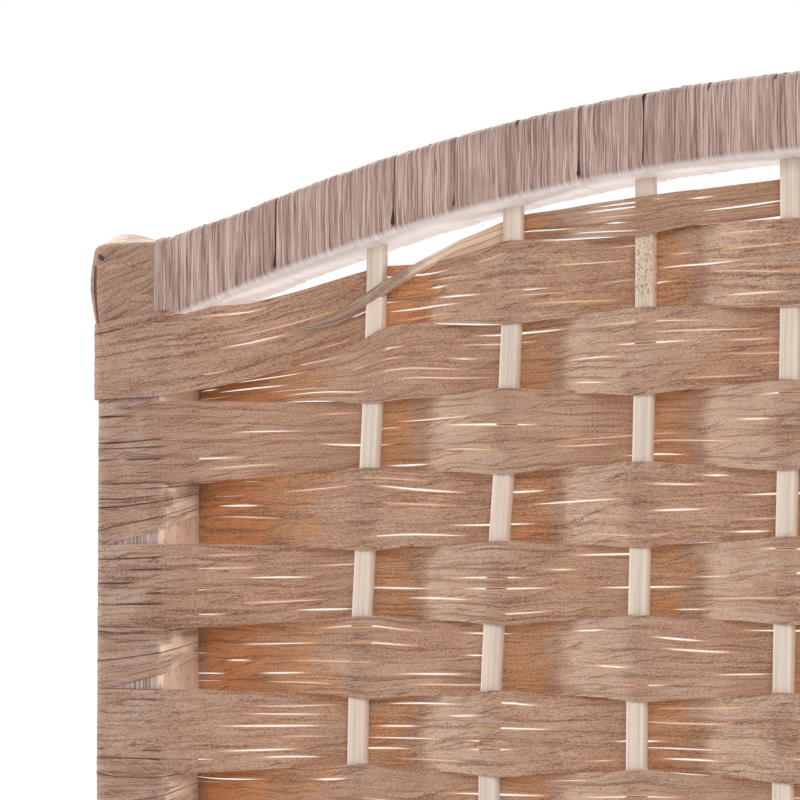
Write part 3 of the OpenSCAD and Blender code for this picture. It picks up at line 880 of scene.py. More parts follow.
@dataclass
class StileWraps(Weave):
    """Ribbon round the stiles beside both rails, with a hood folded over each top."""

    low_end: float = -37.0
    off_wood: float = 0.5
    round_r: float = 1.5
    round_step: float = 1.3
    flap: float = 1.2
    slant: float = 0.30
    lid: float = 2.0
    # Painted highlight on the top of the hood.
    lid_painted_highlight: float = -1.75
    lid_from: float = 0.2
    lid_reach: float = 0.6
    hood_in: float = 0.6
    hood_out: float = 0.15
    side_round: float = 0.8
    flat_points: int = 14
    turn_points: int = 6
    side_loose: Pair = (1.3, 0.9)
    wrinkle_h: float = 0.10
    wrinkle_wave: float = 5.0
    wrinkle_step: float = 0.7
    bulge_h: float = 3.4
    bulge_at: float = 224.0
    bulge_size: Pair = (10.0, 6.0)
    flare: float = 3.2
    flare_z: float = -9.0
    flare_reach: float = 12.0
    flare_w: float = 3.5
    # A slit down the hood's outer corner and a hole near its top, shown only as painted shade.
    slit_ends: Pair = (12, -4)
    slit_painted_shade: float = 1.4
    hole: tuple[int, int] = (4, 14)
    hole_painted_shade: float = 3.0
    band_off: float = 0.4
    band_drops: Pair = (1.5, 0.4)

    def hood(self, sheet: Sheet, side: int) -> None:
        """Adds the hood of one stile: up its front, over its top and down its back.

        Args:
            sheet: Sheet that it goes into.
            side: Left or right stile.
        """
        deep, loose = SIZES.half_t + self.off_wood, self.loose(side)
        profile = filleted(
            [(-deep, self.low_end), (-deep, self.lid), (deep, self.lid), (deep, self.low_end)],
            self.round_r, self.round_step)
        step = np.gradient(profile, axis=0)
        step /= np.linalg.norm(step, axis=1, keepdims=True)
        fall_y, rise_z = -step[:, 1:], step[:, :1]
        profile_y, profile_z = profile[:, :1], profile[:, 1:]
        inner = SIZES.inner_x - self.hood_in
        outer = SIZES.half_w + self.off_wood + self.hood_out + loose * self.side_loose[0]
        side_r = self.round_r + self.side_round + loose * self.side_loose[1]
        flat_x = np.linspace(inner, outer - side_r, self.flat_points)
        turn = np.linspace(0, np.pi / 2, self.turn_points)[1:]
        reach_x = np.concatenate([flat_x, outer - side_r + side_r * np.sin(turn), [outer]])
        sink = np.concatenate([np.zeros(len(flat_x)), side_r * (1 - np.cos(turn)), [side_r + self.flap]])
        y = profile_y - fall_y * sink
        z = profile_z - rise_z * sink
        on_top = eased((rise_z - self.lid_from) / self.lid_reach)
        wide, narrow = self.bulge_size
        rise = self.bulge_h * hump(reach_x, self.bulge_at, wide) * hump(profile_y, 0, narrow)
        wrinkle = wander(self.rng, np.arange(z.size) * self.wrinkle_step, self.wrinkle_wave, 1.0)
        z = z + on_top * rise + self.wrinkle_h * wrinkle.reshape(z.shape)
        flare = self.flare * hump(profile_z, self.flare_z, self.flare_reach) * (loose > 0)
        x = reach_x + flare * eased((reach_x - outer + self.flare_w) / self.flare_w)
        run = travel(profile)[:, None]
        cos, sin = math.cos(self.slant), math.sin(self.slant)
        # Painted shade for the slit and the hole, on free stiles only.
        dark = np.zeros_like(y)
        above, below = self.slit_ends
        on_front = (profile_z > self.low_end + above) & (profile_z < below) & (profile_y < 0)
        dark[on_front[:, 0], len(flat_x) + 1] = self.slit_painted_shade
        before_top, column = self.hole
        dark[np.argmax(np.isclose(profile_z, self.lid)) - before_top, column] = self.hole_painted_shade
        # The top of the hood gets the painted highlight.
        sheet.add_grid(
            x * side, y, z + SIZES.stile_h,
            x * side * cos + run * sin, run * cos - x * side * sin, self.rng.uniform(0, SEED_MOST),
            self.lid_painted_highlight * on_top, 0, dark * (loose > 0),
            run / run.max(), (x - inner) / np.ptp(x), turned=side == RIGHT)

    def band(self, side: int, top: float, low: float) -> Route:
        """Ribbon once round the front, outer side and back of a stile.

        Args:
            side: Left or right stile.
            top: Height of its upper edge.
            low: Height of its lower edge.

        Returns:
            Its route.
        """
        out, deep = SIZES.half_w + self.band_off, SIZES.half_t + self.band_off
        inner = SIZES.inner_x + self.lap
        plan = filleted([(-inner, deep), (-out, deep), (-out, -deep), (-inner, -deep)],
                        self.corner, self.step) * -side
        same = np.ones(len(plan))
        return Route(plan, top * same, low * same, 0 * same, self.turn_slack * same)

    def wraps(self) -> Object:
        """The wraps of the panel's two stiles as one piece.

        Returns:
            The new object.
        """
        sheet = Sheet(strips=6)
        top, low = SIZES.stile_h - self.band_drops[0], SIZES.rows_end_z - self.band_drops[1]
        for side in (LEFT, RIGHT):
            self.hood(sheet, side)
            self.lay(sheet, self.band(side, top, SIZES.stile_h + self.low_end))
            self.lay(sheet, self.band(side, low, SIZES.low_rail_under))
        piece = self.piece(sheet, "stile_hoods_and_wraps")
        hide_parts(self.panel.node("stile_wraps"))
        return piece


@dataclass
class Stakes(SubAssembly):
    """The upright stakes of a panel: flat rods with soft edges that lean and bend a little."""

    width: float = 5.2
    thick: float = 4.0
    squareness: float = 0.42
    ring: int = 20
    step: float = 10.0
    seat: float = 5.0
    wave: float = 150.0
    bend: float = 1.3
    still: int = 3
    top_lean: tuple = ((1.5, -4.6), (2.5, -5.2), (0.7, -2.7), (0.9, -2.4))
    speckled: int = 2
    speck_drop: float = 10.0
    speck_reach: float = 8.5

    def leaning(self, number: int, drop: Line) -> Line:
        """How far a stake stands to the right of its place.

        Args:
            number: Number of the stake, from the left.
            drop: Depths under the top of the stiles.

        Returns:
            One distance for each depth.
        """
        knots = self.rng.normal(0, self.bend, int(drop.max() / self.wave) + self.still)
        if number < len(self.top_lean):
            knots[:2] = self.top_lean[number]
        knots[-self.still :] = 0
        return smooth(np.maximum(drop, 0) / self.wave, knots)

    def rods(self) -> Object:
        """The stakes of the panel as one piece.

        Returns:
            The new object.
        """
        sheet = Sheet(strips=SIZES.stake_count)
        turn = np.linspace(0, 2 * np.pi, self.ring + 1)
        across, deep = (
            np.sign(way) * np.abs(way) ** self.squareness * size / 2
            for way, size in ((np.cos(turn), self.width), (np.sin(turn), self.thick)))
        around = travel(np.stack([across, deep], axis=1))
        low = SIZES.rows_end_z - SIZES.tape_thick - self.seat
        for number, centre in enumerate(SIZES.stakes):
            top = float(SIZES.arch(centre, SIZES.stock)) + self.seat
            z = np.linspace(top, low, round((top - low) / self.step))
            drop = SIZES.stile_h - z
            lean = self.leaning(number, drop)[:, None]
            speck = hump(drop, self.speck_drop, self.speck_reach) * (number == self.speckled)
            z = z[:, None]
            # Painted shade towards each stake's sides, and specks near the top of one stake.
            sheet.add_grid(
                centre + lean + across, deep, z, z, around, self.rng.uniform(0, SEED_MOST),
                np.abs(across) / self.width * 2, speck[:, None], 0,
                (top - z) / (top - low), around / around[-1])
        piece = self.piece(sheet, "rounded_stakes")
        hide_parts(self.panel.node("stakes"))
        return piece


@dataclass
class CrepeTape(SubAssembly):
    """Crepe tape wound tightly round a rail, turn over turn, and laid flat along the stiles."""

    reach_x: float = 207.2
    end_lift: float = 0.55
    end_from: float = 1.8
    end_reach: float = 1.6
    end_pile: float = 1.7
    pile_in: float = 4.0
    pile_reach: float = 14.0
    step: float = 0.42
    corner_r: float = 2.3
    flat_spans: int = 4
    turn_spans: int = 3
    least_layer: float = 0.12
    under_layer: float = 0.32
    ridge_h: float = 0.17
    ridge_gap: float = 0.85
    ridge_length: float = 16.0
    ridge_share: float = 0.8
    # How strongly painted light and shade follow the ridges.
    ridge_painted_shading: float = 0.55
    swell_gap: float = 2.6
    swell_length: float = 26.0
    swell_share: float = 0.3
    lap_h: float = 0.22
    seam_w: float = 0.34
    seam_h: float = 0.35
    seam_depths: Pair = (0.3, 0.9)
    # Painted shade along the seams, wider where a seam opens at an edge and weaker underneath.
    line_w: float = 1.35
    line_dark: Triple = (0.78, 0.25, 0.5)
    line_under: float = 0.3
    notch_w: float = 1.7
    notch_reach: float = 1.6
    low_edge: float = 57.4
    top_edge: float = 74.2
    open_low: tuple = (2, 4, 5)
    open_top: tuple = (6, 8, 9, 10)
    open_seams: tuple = (2, 4, 7, 8)
    shut_seams: tuple = (0, 1, 3)
    first_seam: float = -208.4
    slant: float = 0.55
    drift: float = 3.0
    strip_off: float = 0.1
    strip_in: Pair = (1.8, 1.2)
    strip_end: float = 30.0
    strip_ridge: tuple[float, float, float] = (0.07, 1.1, 60.0)
    strip_grid: tuple[int, int] = (29, 161)

    def section(self) -> list[Line]:
        """Closed outline of the rail.

        Returns:
            Place from front to back, height, and these two for the way outward, as four columns.
        """
        corner = SIZES.half_t - self.corner_r
        flat = np.linspace(-corner, corner, self.flat_spans + 1)[:-1] + 1j * SIZES.half_t
        bend = np.linspace(0, np.pi / 2, self.turn_spans + 1)[:-1]
        turned = np.sin(bend) + 1j * np.cos(bend)
        place = np.concatenate([flat, corner * (1 + 1j) + self.corner_r * turned])
        normal = np.concatenate([np.full(len(flat), 1j), turned])
        quarters = np.array([1, -1j, -1, 1j])[:, None]
        place, normal = (np.append((quarters * side).ravel(), side[0]) for side in (place, normal))
        return [column[:, None] for column in (place.real, place.imag, normal.real, normal.imag)]

    def crimp(self, x: Line, around: Line, across: float, length: float) -> Line:
        """Fine uneven ridges that run round the rail.

        Args:
            x: Places along the rail, one for each column.
            around: Places round the rail, one for each row.
            across: Distance between two ridges.
            length: Distance over which a ridge changes.

        Returns:
            A height from about -1 to 1 for each row and column.
        """
        rows, columns = int(np.ptp(around) / length) + 3, int(np.ptp(x) / across) + 3
        knots = self.rng.normal(0, 0.5, (rows, columns))
        knots[-2:] = knots[:2]
        lines = smooth(around / np.ptp(around) * (rows - 3), knots)
        return smooth((x - x.min()) / across, lines.T).T

    def seams(self, x: Line, turn_share: Line) -> tuple[Line, Line, Line, Line]:
        """Seams between the turns of tape, some deep, some shut, and open at one edge of the rail.

        Args:
            x: Places along the rail, in a row.
            turn_share: Places round the rail, as shares of a turn in a column.

        Returns:
            Place within a turn, distance from a seam, depth of that seam, and how far it is open.
        """
        lead = x + self.slant * np.sin(2 * np.pi * turn_share) - turn_share * self.drift
        place = (lead - self.first_seam) / SIZES.tape_pitch
        within = place - np.floor(place)
        number = np.rint(place).astype(int)
        number -= number.min()
        depth = self.rng.uniform(*self.seam_depths, number.max() + 1)
        edge = self.rng.choice([self.low_edge, self.top_edge], number.max() + 1)
        depth[list(self.open_seams)], depth[list(self.shut_seams)] = 1, 0
        edge[list(self.open_low)], edge[list(self.open_top)] = self.low_edge, self.top_edge
        from_seam = np.minimum(within, 1 - within) * SIZES.tape_pitch
        return within, from_seam, depth[number], edge[number]

    def sleeve(self, arched: bool) -> Object:
        """The tape of one rail as a closed sleeve with ridges, laps and seams.

        Args:
            arched: True for the top rail.

        Returns:
            The new object.
        """
        wide, high, out_y, out_z = self.section()
        around = travel(np.concatenate([wide, high], axis=1))
        x = np.linspace(-self.reach_x, self.reach_x, round(2 * self.reach_x / self.step) + 1)
        ring = around[:, None]
        within, from_seam, depth, edge = self.seams(x, ring / around[-1])
        seam = hump(from_seam, 0, self.seam_w) * depth
        # Painted shade along the seams, wider at the open notches and weaker on the underside.
        notch = 1 + self.notch_w * hump(ring, edge, self.notch_reach) * (depth > 0)
        under_side = np.clip(-out_z, 0, 1)
        least, for_depth, for_notch = self.line_dark
        dark = least + for_depth * np.maximum(depth, for_notch * (notch - 1))
        near = np.clip(1 - from_seam / (self.line_w * notch), 0, 1)
        line = near * dark * (1 - self.line_under * under_side)
        ridge = self.ridge_share * self.crimp(x, around, self.ridge_gap, self.ridge_length)
        ridge = ridge + self.swell_share * self.crimp(x, around, self.swell_gap, self.swell_length)
        layer = self.under_layer + self.ridge_h * (0.5 + ridge) + self.lap_h * within - self.seam_h * seam
        lift = self.end_lift * eased((np.abs(x) - SIZES.inner_x + self.end_from) / self.end_reach)
        layer = np.maximum(layer, self.least_layer) + lift
        if arched:
            pile = hump(np.abs(x), self.reach_x - self.pile_in, self.pile_reach)
            layer = layer + self.end_pile * np.clip(out_z, 0, 1) * pile
            held = np.clip(np.abs(x), 0, SIZES.inner_x)
            over, under = SIZES.arch(held, 0), SIZES.arch(held, SIZES.stock)
        else:
            under = np.full_like(x, SIZES.low_rail_under)
            over = under + SIZES.stock
        z = (over + under) / 2 + high * (over - under) / SIZES.stock + out_z * layer
        sheet = Sheet()
        # Its tone: painted light and shade that follow the ridges, painted shade at the seams, and how far it
        # faces down, which gets painted light.
        sheet.add_grid(
            x, wide + out_y * layer, z, x, ring, self.rng.uniform(0, SEED_MOST),
            np.clip(0.5 + self.ridge_painted_shading * ridge, 0, 1), line, under_side,
            (x + self.reach_x) / (2 * self.reach_x), ring / around[-1])
        part = "top_tape" if arched else "bottom_tape"
        piece = self.piece(sheet, f"crepe_{part}")
        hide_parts(self.panel.node(part))
        return piece

    def strips(self) -> Object:
        """The flat strips under the ribbon, along the front and back of both stiles.

        Returns:
            The new object.
        """
        sheet = Sheet(strips=4)
        columns, rows = self.strip_grid
        x = np.linspace(SIZES.inner_x + self.strip_in[0], SIZES.half_w - self.strip_in[1], columns)
        z = np.linspace(SIZES.low_rail_under, SIZES.stile_h - self.strip_end, rows)
        height, across, length = self.strip_ridge
        for side, face in ((LEFT, -1), (RIGHT, -1), (LEFT, 1), (RIGHT, 1)):
            ridge = self.crimp(x, z - z[0], across, length)
            y = face * (SIZES.half_t + self.strip_off + height * (1 + ridge))
            up = z[:, None]
            sheet.add_grid(
                x * side, y, up, x, up, self.rng.uniform(0, SEED_MOST),
                np.clip(0.5 + 0.5 * ridge, 0, 1), 0, 0,
                (up - z[0]) / np.ptp(z), (x - x[0]) / np.ptp(x), turned=side * face > 0)
        piece = self.piece(sheet, "stile_strips")
        return piece


class Nodes:
    """Short ways to lay out the nodes of one material or world."""

    def __init__(self, owner: Material | bpy.types.World, output: str) -> None:
        """Empties a node tree and gives it an output.

        Args:
            owner: Material or world that has the tree.
            output: Kind of the output.
        """
        owner.use_nodes = True
        self.owner = owner
        self.tree = owner.node_tree
        self.tree.nodes.clear()
        self.output = self.node(output)

    @classmethod
    def of(cls, name: str) -> "Nodes":
        """Nodes of a new material."""
        return cls(bpy.data.materials.new(name), "ShaderNodeOutputMaterial")

    def node(self, kind: str, inputs: dict | None = None, **settings: object) -> Node:
        """Adds a node.

        Args:
            kind: Its kind.
            inputs: An output to link, a number, a vector or a colour, for inputs by name or number.
            settings: Choices that the node is set to first.

        Returns:
            The new node.
        """
        made = self.tree.nodes.new(kind)
        for name, choice in settings.items():
            setattr(made, name, choice)
        for key, value in (inputs or {}).items():
            socket = made.inputs[key]
            if isinstance(value, Socket):
                self.tree.links.new(value, socket)
            else:
                socket.default_value = (*value, 1) if socket.type == "RGBA" else value
        return made

    def attribute(self, name: str) -> Socket:
        """Vector that each point of the mesh carries under that name."""
        return self.node("ShaderNodeAttribute", attribute_name=name).outputs["Vector"]

    def places(self) -> Socket:
        """Place of each point in the object's own frame."""
        return self.node("ShaderNodeTexCoord").outputs["Object"]

    def vector(self, operation: str, first: object, second: object) -> Socket:
        """Result of a vector sum or product."""
        return self.node("ShaderNodeVectorMath", {0: first, 1: second}, operation=operation).outputs["Vector"]

    def joined(self, x: object, y: object, z: object) -> Socket:
        """A vector made of three numbers."""
        return self.node("ShaderNodeCombineXYZ", {0: x, 1: y, 2: z}).outputs["Vector"]

    def split(self, vector: object) -> list[Socket]:
        """The three numbers of a vector."""
        return list(self.node("ShaderNodeSeparateXYZ", {0: vector}).outputs)

    def maths(self, operation: str, *values: object) -> Socket:
        """Result of a sum or product of numbers."""
        return self.node("ShaderNodeMath", dict(enumerate(values)), operation=operation).outputs[0]

    def product(self, first: object, second: object) -> Socket:
        """One number times another."""
        return self.maths("MULTIPLY", first, second)

    def noise(self, place: object, by: Triple, detail: float, rough: float = 0.5) -> Socket:
        """Noise at a place whose three numbers are first multiplied."""
        inputs = {"Vector": self.vector("MULTIPLY", place, by), "Scale": 1.0, "Detail": detail}
        return self.node("ShaderNodeTexNoise", inputs | {"Roughness": rough}).outputs["Fac"]

    def ridges(self, noise: object) -> Socket:
        """How far a noise is from its middle."""
        return self.maths("ABSOLUTE", self.maths("SUBTRACT", noise, 0.5))

    def ramp(self, value: object, start: float, end: float) -> Socket:
        """Smooth rise from 0 at start to 1 at end, which may lie below start.

        Args:
            value: What is looked up.
            start: Value that gives 0.
            end: Value that gives 1.

        Returns:
            The share.
        """
        (low, first), (high, last) = sorted(((start, 0.0), (end, 1.0)))
        inputs = {"Value": value, "From Min": low, "From Max": high, "To Min": first, "To Max": last}
        return self.node("ShaderNodeMapRange", inputs, interpolation_type="SMOOTHSTEP").outputs["Result"]

    def mix(self, share: object, first: object, second: object) -> Socket:
        """Mix of two colours."""
        return self.node("ShaderNodeMix", {0: share, 6: first, 7: second}, data_type="RGBA").outputs[2]

    def layers(self, colour: object, *layers: tuple) -> Socket:
        """Lays colours over a colour.

        Args:
            colour: The lowest colour.
            layers: For each one a share, the most that it covers, and its colour.

        Returns:
            What is seen.
        """
        for share, most, tint in layers:
            colour = self.mix(self.product(share, most), colour, tint)
        return colour

    def bump(self, height: object, strength: float, distance: float) -> Socket:
        """Normal of a surface with that relief, its distance in metres."""
        inputs = {"Strength": strength, "Distance": distance, "Height": height}
        return self.node("ShaderNodeBump", inputs).outputs["Normal"]

    def surface(self, colour: object, normal: object, rough: float, specular: float = 0.5,
                **others: float) -> Node:
        """Principled surface.

        Args:
            colour: Its colour.
            normal: Its relief.
            rough: Its roughness.
            specular: Strength of its reflections.
            others: Its other inputs, named with underscores in place of spaces.

        Returns:
            The shader.
        """
        inputs = {"Base Color": colour, "Roughness": rough, "Normal": normal, "Specular IOR Level": specular}
        inputs |= {name.replace("_", " "): value for name, value in others.items()}
        return self.node("ShaderNodeBsdfPrincipled", inputs)

    def both(self, share: object, first: Node, second: Node) -> Node:
        """Mix of two shaders."""
        return self.node("ShaderNodeMixShader", {0: share, 1: first.outputs[0], 2: second.outputs[0]})

    def seen(self) -> Socket:
        """Tells what sees a surface.

        Returns:
            1 for rays from the camera, mirrors and glass, and 0 for the light that falls on things.
        """
        rays = self.node("ShaderNodeLightPath").outputs
        either = self.maths("MAXIMUM", rays["Is Camera Ray"], rays["Is Glossy Ray"])
        return self.maths("MAXIMUM", either, rays["Is Transmission Ray"])

    def finish(self, shader: Node) -> Material | bpy.types.World:
        """Sends a shader to the output, and gives back what has the tree."""
        self.tree.links.new(shader.outputs[0], self.output.inputs["Surface"])
        return self.owner


@dataclass(frozen=True)
class RibbonFinish:
    """Flattened fibre ribbon: brown and greyish, streaked along its length, with painted orange glow, sheen
    and shade.
    """

    brown: Triple = (0.41, 0.236, 0.163)
    pale: Triple = (0.57, 0.405, 0.305)
    # Painted sheen.
    painted_sheen: Triple = (0.56, 0.400, 0.305)
    streak: Triple = (0.15, 0.063, 0.036)
    # Painted orange glow, a deeper painted glow, and painted glow beside the slits.
    painted_orange_glow: Triple = (0.52, 0.235, 0.100)
    painted_glow: Triple = (0.78, 0.29, 0.105)
    painted_slit_glow: Triple = (0.86, 0.46, 0.22)
    # Painted shade in the creases, and a painted highlight.
    painted_crease_shade: Triple = (0.035, 0.018, 0.012)
    painted_highlight: Triple = (0.92, 0.70, 0.54)
    through: Triple = (0.72, 0.30, 0.10)
    through_share: float = 0.07

    def material(self) -> Material:
        """Builds the material from the weave and tone of each point.

        Returns:
            The material.
        """
        kit = Nodes.of("fibre_ribbon")
        weave = kit.attribute(WEAVE)
        tint, painted_glow, painted_crease = kit.split(kit.attribute(TONE))
        sway = kit.noise(weave, (0.055, 0.14, 1.0), 2)
        swayed = kit.vector("ADD", weave, kit.joined(0, kit.product(sway, 2.6), 0))
        slope = kit.product(kit.split(weave)[0], -0.17)
        leaning = kit.vector("ADD", swayed, kit.joined(0, slope, 5))
        streaks = kit.noise(swayed, (0.022, 0.95, 1.0), 4, 0.62)
        lines = kit.ramp(kit.ridges(kit.noise(leaning, (0.028, 0.50, 1.0), 3, 0.55)), 0.035, 0.0)
        broken = kit.ramp(kit.noise(leaning, (0.09, 0.4, 1.0), 2), 0.42, 0.60)
        fibres = kit.noise(swayed, (0.09, 2.6, 1.0), 3, 0.66)
        dust = kit.noise(swayed, (1.4, 5.0, 1.0), 2, 0.7)
        clouds = kit.noise(weave, (0.045, 0.10, 1.0), 2)
        patches = kit.noise(weave, (0.085, 0.14, 1.0), 5, 0.62)
        # The tint, made wavy, picks where the painted orange glow, sheen and highlight go; marks fade under
        # the highlight.
        shifted = kit.maths("MULTIPLY_ADD", patches, 2.2, kit.maths("SUBTRACT", tint, 1.1))
        highlight_share = kit.ramp(shifted, -1.2, -2.0)
        marks_outside_highlight = kit.maths("MULTIPLY_ADD", highlight_share, -0.75, 1.0)
        marks = (
            (kit.ramp(streaks, 0.50, 0.36), 0.68, self.streak),
            (kit.product(lines, broken), 0.85, self.streak),
            (kit.ramp(fibres, 0.50, 0.66), 0.42, self.pale),
            (kit.ramp(fibres, 0.48, 0.34), 0.42, self.streak),
            (kit.ramp(dust, 0.52, 0.66), 0.75, self.pale),
            (kit.ramp(dust, 0.47, 0.33), 0.75, self.streak))
        colour = kit.layers(
            self.brown,
            (kit.ramp(clouds, 0.40, 0.66), 0.45, self.pale),
            (kit.ramp(shifted, 0.40, 0.72), 0.8, self.painted_orange_glow),
            (kit.ramp(shifted, 0.8, 1.7), 0.75, self.painted_glow),
            (kit.ramp(shifted, -0.25, -0.85), 0.85, self.painted_sheen),
            (highlight_share, 0.9, self.painted_highlight),
            *((kit.product(share, marks_outside_highlight), most, mark) for share, most, mark in marks),
            # Painted glow beside the slits, and painted shade in the creases.
            (kit.ramp(painted_glow, 0.72, 1.0), 0.6, self.painted_slit_glow),
            (kit.ramp(painted_crease, 0.84, 1.06), 0.95, self.painted_crease_shade))
        bump = kit.bump(kit.maths("ADD", kit.product(streaks, 0.7), fibres), 0.5, 0.0003)
        surface = kit.surface(colour, bump, 0.6, 0.15, Sheen_Weight=0.04, Sheen_Roughness=0.35)
        back_light = kit.node("ShaderNodeBsdfTranslucent", {"Color": self.through})
        return kit.finish(kit.both(self.through_share, surface, back_light))


@dataclass(frozen=True)
class TapeFinish:
    """Crepe tape wound round the rails: mauve grey, with painted light on its ridges and underside and
    painted shade in its valleys and seams.
    """

    body: Triple = (0.44, 0.300, 0.255)
    # Painted light on ridge crests and painted shade in valleys, also used for random mottle.
    crest_painted_light_and_mottle: Triple = (0.65, 0.49, 0.43)
    valley_painted_shade_and_mottle: Triple = (0.20, 0.118, 0.095)
    # Painted shade for the seams.
    seam: Triple = (0.05, 0.025, 0.019)
    # Painted light for the underside of the rail.
    under: Triple = (0.95, 0.87, 0.85)

    def material(self) -> Material:
        """Builds the material from the weave and tone of each point.

        Returns:
            The material.
        """
        kit = Nodes.of("crepe_tape")
        weave = kit.attribute(WEAVE)
        ridge, line, under_side = kit.split(kit.attribute(TONE))
        sway = kit.noise(weave, (0.12, 0.10, 1.0), 2)
        swayed = kit.vector("ADD", weave, kit.joined(sway, 0, 0))
        fibres = kit.noise(swayed, (2.3, 0.085, 1.0), 3, 0.8)
        clouds = kit.noise(weave, (0.10, 0.05, 1.0), 2)
        creases = kit.noise(swayed, (1.05, 0.018, 1.0), 1)
        ridged = kit.ridges(creases)
        # Painted shade in the valleys under all, painted light on the crests and fine crease lines, random
        # mottle, a painted light underside and painted shade at the seams.
        colour = kit.layers(
            self.valley_painted_shade_and_mottle,
            (kit.ramp(ridge, -0.15, 0.45), 1.0, self.body),
            (kit.ramp(ridge, 0.6, 1.1), 0.7, self.crest_painted_light_and_mottle),
            (kit.ramp(fibres, 0.52, 0.64), 0.72, self.crest_painted_light_and_mottle),
            (kit.ramp(fibres, 0.47, 0.35), 0.72, self.valley_painted_shade_and_mottle),
            (kit.ramp(clouds, 0.55, 0.35), 0.25, self.valley_painted_shade_and_mottle),
            (kit.ramp(ridged, 0.045, 0.0), 0.95, self.valley_painted_shade_and_mottle),
            (kit.product(kit.ramp(creases, 0.55, 0.60), kit.ramp(creases, 0.65, 0.60)), 0.75, self.crest_painted_light_and_mottle),
            (kit.ramp(under_side, 0.3, 1.0), 0.85, self.under),
            (kit.ramp(line, 0.80, 0.93), 1.0, self.seam))
        bump = kit.bump(kit.maths("ADD", fibres, kit.ramp(ridged, 0.0, 0.09)), 0.5, 0.0003)
        return kit.finish(kit.surface(colour, bump, 0.62, 0.15, Sheen_Weight=0.05))


@dataclass(frozen=True)
class WoodFinish:
    """Bare sanded wood with its grain upright."""

    name: str
    pale: Triple
    dark: Triple
    speck: Triple
    grain_scale: float = 1.0

    def material(self) -> Material:
        """Builds the material from places in the row frame.

        Returns:
            The material.
        """
        kit = Nodes.of(self.name)
        place = kit.places()
        k = self.grain_scale
        grain = kit.noise(place, (900 * k, 900 * k, 14), 4, 0.6)
        colour = kit.layers(
            self.pale,
            (kit.ramp(kit.noise(place, (160 * k, 160 * k, 5), 3), 0.38, 0.66), 1.0, self.dark),
            (kit.ramp(grain, 0.52, 0.74), 0.45, self.dark),
            (kit.ramp(kit.noise(place, (1500, 1500, 420), 2), 0.58, 0.68), 0.55, self.speck))
        return kit.finish(kit.surface(colour, kit.bump(grain, 0.35, 0.0002), 0.55, 0.3))


@dataclass(frozen=True)
class StakeFinish:
    """Pale bare wood with fine upright lines, painted shade towards its sides, and small dark specks where
    its tone asks for them.
    """

    pale: Triple = (0.71, 0.59, 0.495)
    line: Triple = (0.54, 0.44, 0.35)
    stain: Triple = (0.55, 0.38, 0.20)
    speck: Triple = (0.22, 0.155, 0.075)

    def material(self) -> Material:
        """Builds the material from the weave and tone of each point.

        Returns:
            The material.
        """
        kit = Nodes.of("stake_wood")
        weave = kit.attribute(WEAVE)
        side, speckled, _ = kit.split(kit.attribute(TONE))
        lines = kit.noise(weave, (0.02, 1.6, 1.0), 3, 0.6)
        clouds = kit.noise(weave, (0.03, 0.2, 1.0), 2)
        dust = kit.noise(weave, (1.1, 1.9, 1.0), 2, 0.7)
        stain = kit.ramp(speckled, 0.05, 0.6)
        colour = kit.layers(
            self.pale,
            (kit.ramp(lines, 0.46, 0.66), 0.6, self.line),
            (kit.ramp(clouds, 0.5, 0.7), 0.4, self.line),
            # Painted shade towards the sides of the stake.
            (kit.ramp(side, 0.8, 1.0), 0.25, self.line),
            (stain, 0.35, self.stain),
            (kit.product(kit.ramp(dust, 0.50, 0.62), stain), 0.75, self.speck))
        return kit.finish(kit.surface(colour, kit.bump(lines, 0.3, 0.0002), 0.5, 0.3))


@dataclass(frozen=True)
class MetalFinish:
    """Plated metal, brushed and a little worn."""

    name: str
    plate: Triple
    worn: Triple
    roughness: float

    def material(self) -> Material:
        """Builds the material from places in the row frame.

        Returns:
            The material.
        """
        kit = Nodes.of(self.name)
        place = kit.places()
        brush = kit.noise(place, (1200, 1200, 60), 3)
        clouds = kit.noise(place, (90, 90, 90), 3)
        colour = kit.mix(kit.ramp(clouds, 0.42, 0.68), self.plate, self.worn)
        bump = kit.bump(brush, 0.25, 0.0001)
        return kit.finish(kit.surface(colour, bump, self.roughness, Metallic=1.0))


def make_finishes() -> dict[str, Material]:
    """Builds every material once.

    Returns:
        Each material under every word that the names of its nodes end with.
    """
    finishes = {
        RibbonFinish(): ("rows", "wraps"),
        TapeFinish(): ("tape",),
        WoodFinish("frame_wood", (0.72, 0.53, 0.41), (0.60, 0.42, 0.31), (0.15, 0.08, 0.045), 0.7):
            ("stile", "rail"),
        WoodFinish("dowel_wood", (0.74, 0.61, 0.51), (0.66, 0.52, 0.43), (0.58, 0.47, 0.38)):
            ("dowels",),
        StakeFinish(): ("stakes",),
        MetalFinish("hinge_metal", (0.66, 0.50, 0.24), (0.50, 0.36, 0.17), 0.34): ("leaves", "pins"),
        MetalFinish("screw_metal", (0.70, 0.56, 0.30), (0.52, 0.40, 0.22), 0.3): ("screws",),
    }
    materials = {}
    for finish, ends in finishes.items():
        materials |= dict.fromkeys(ends, finish.material())
    return materials


def dress_solids(materials: dict[str, Material]) -> None:
    """Gives every node that stays its material, by what its name ends with."""
    for name, node in frame["nodes"].items():
        node.data.materials.clear()
        node.data.materials.append(materials[name.rsplit("_", 1)[-1]])


@dataclass(frozen=True)
class Lamp:
    """A square soft lamp, with its place, what it faces and its side in metres, and its watts."""

    name: str
    place: Triple
    target: Triple
    size: float
    power: float

    def hang(self) -> None:
        """Adds the lamp to the scene."""
        data = bpy.data.lights.new(self.name, "AREA")
        data.size = self.size
        data.energy = self.power
        aimed(linked(self.name, data), Vector(self.place), Vector(self.target) - Vector(self.place))


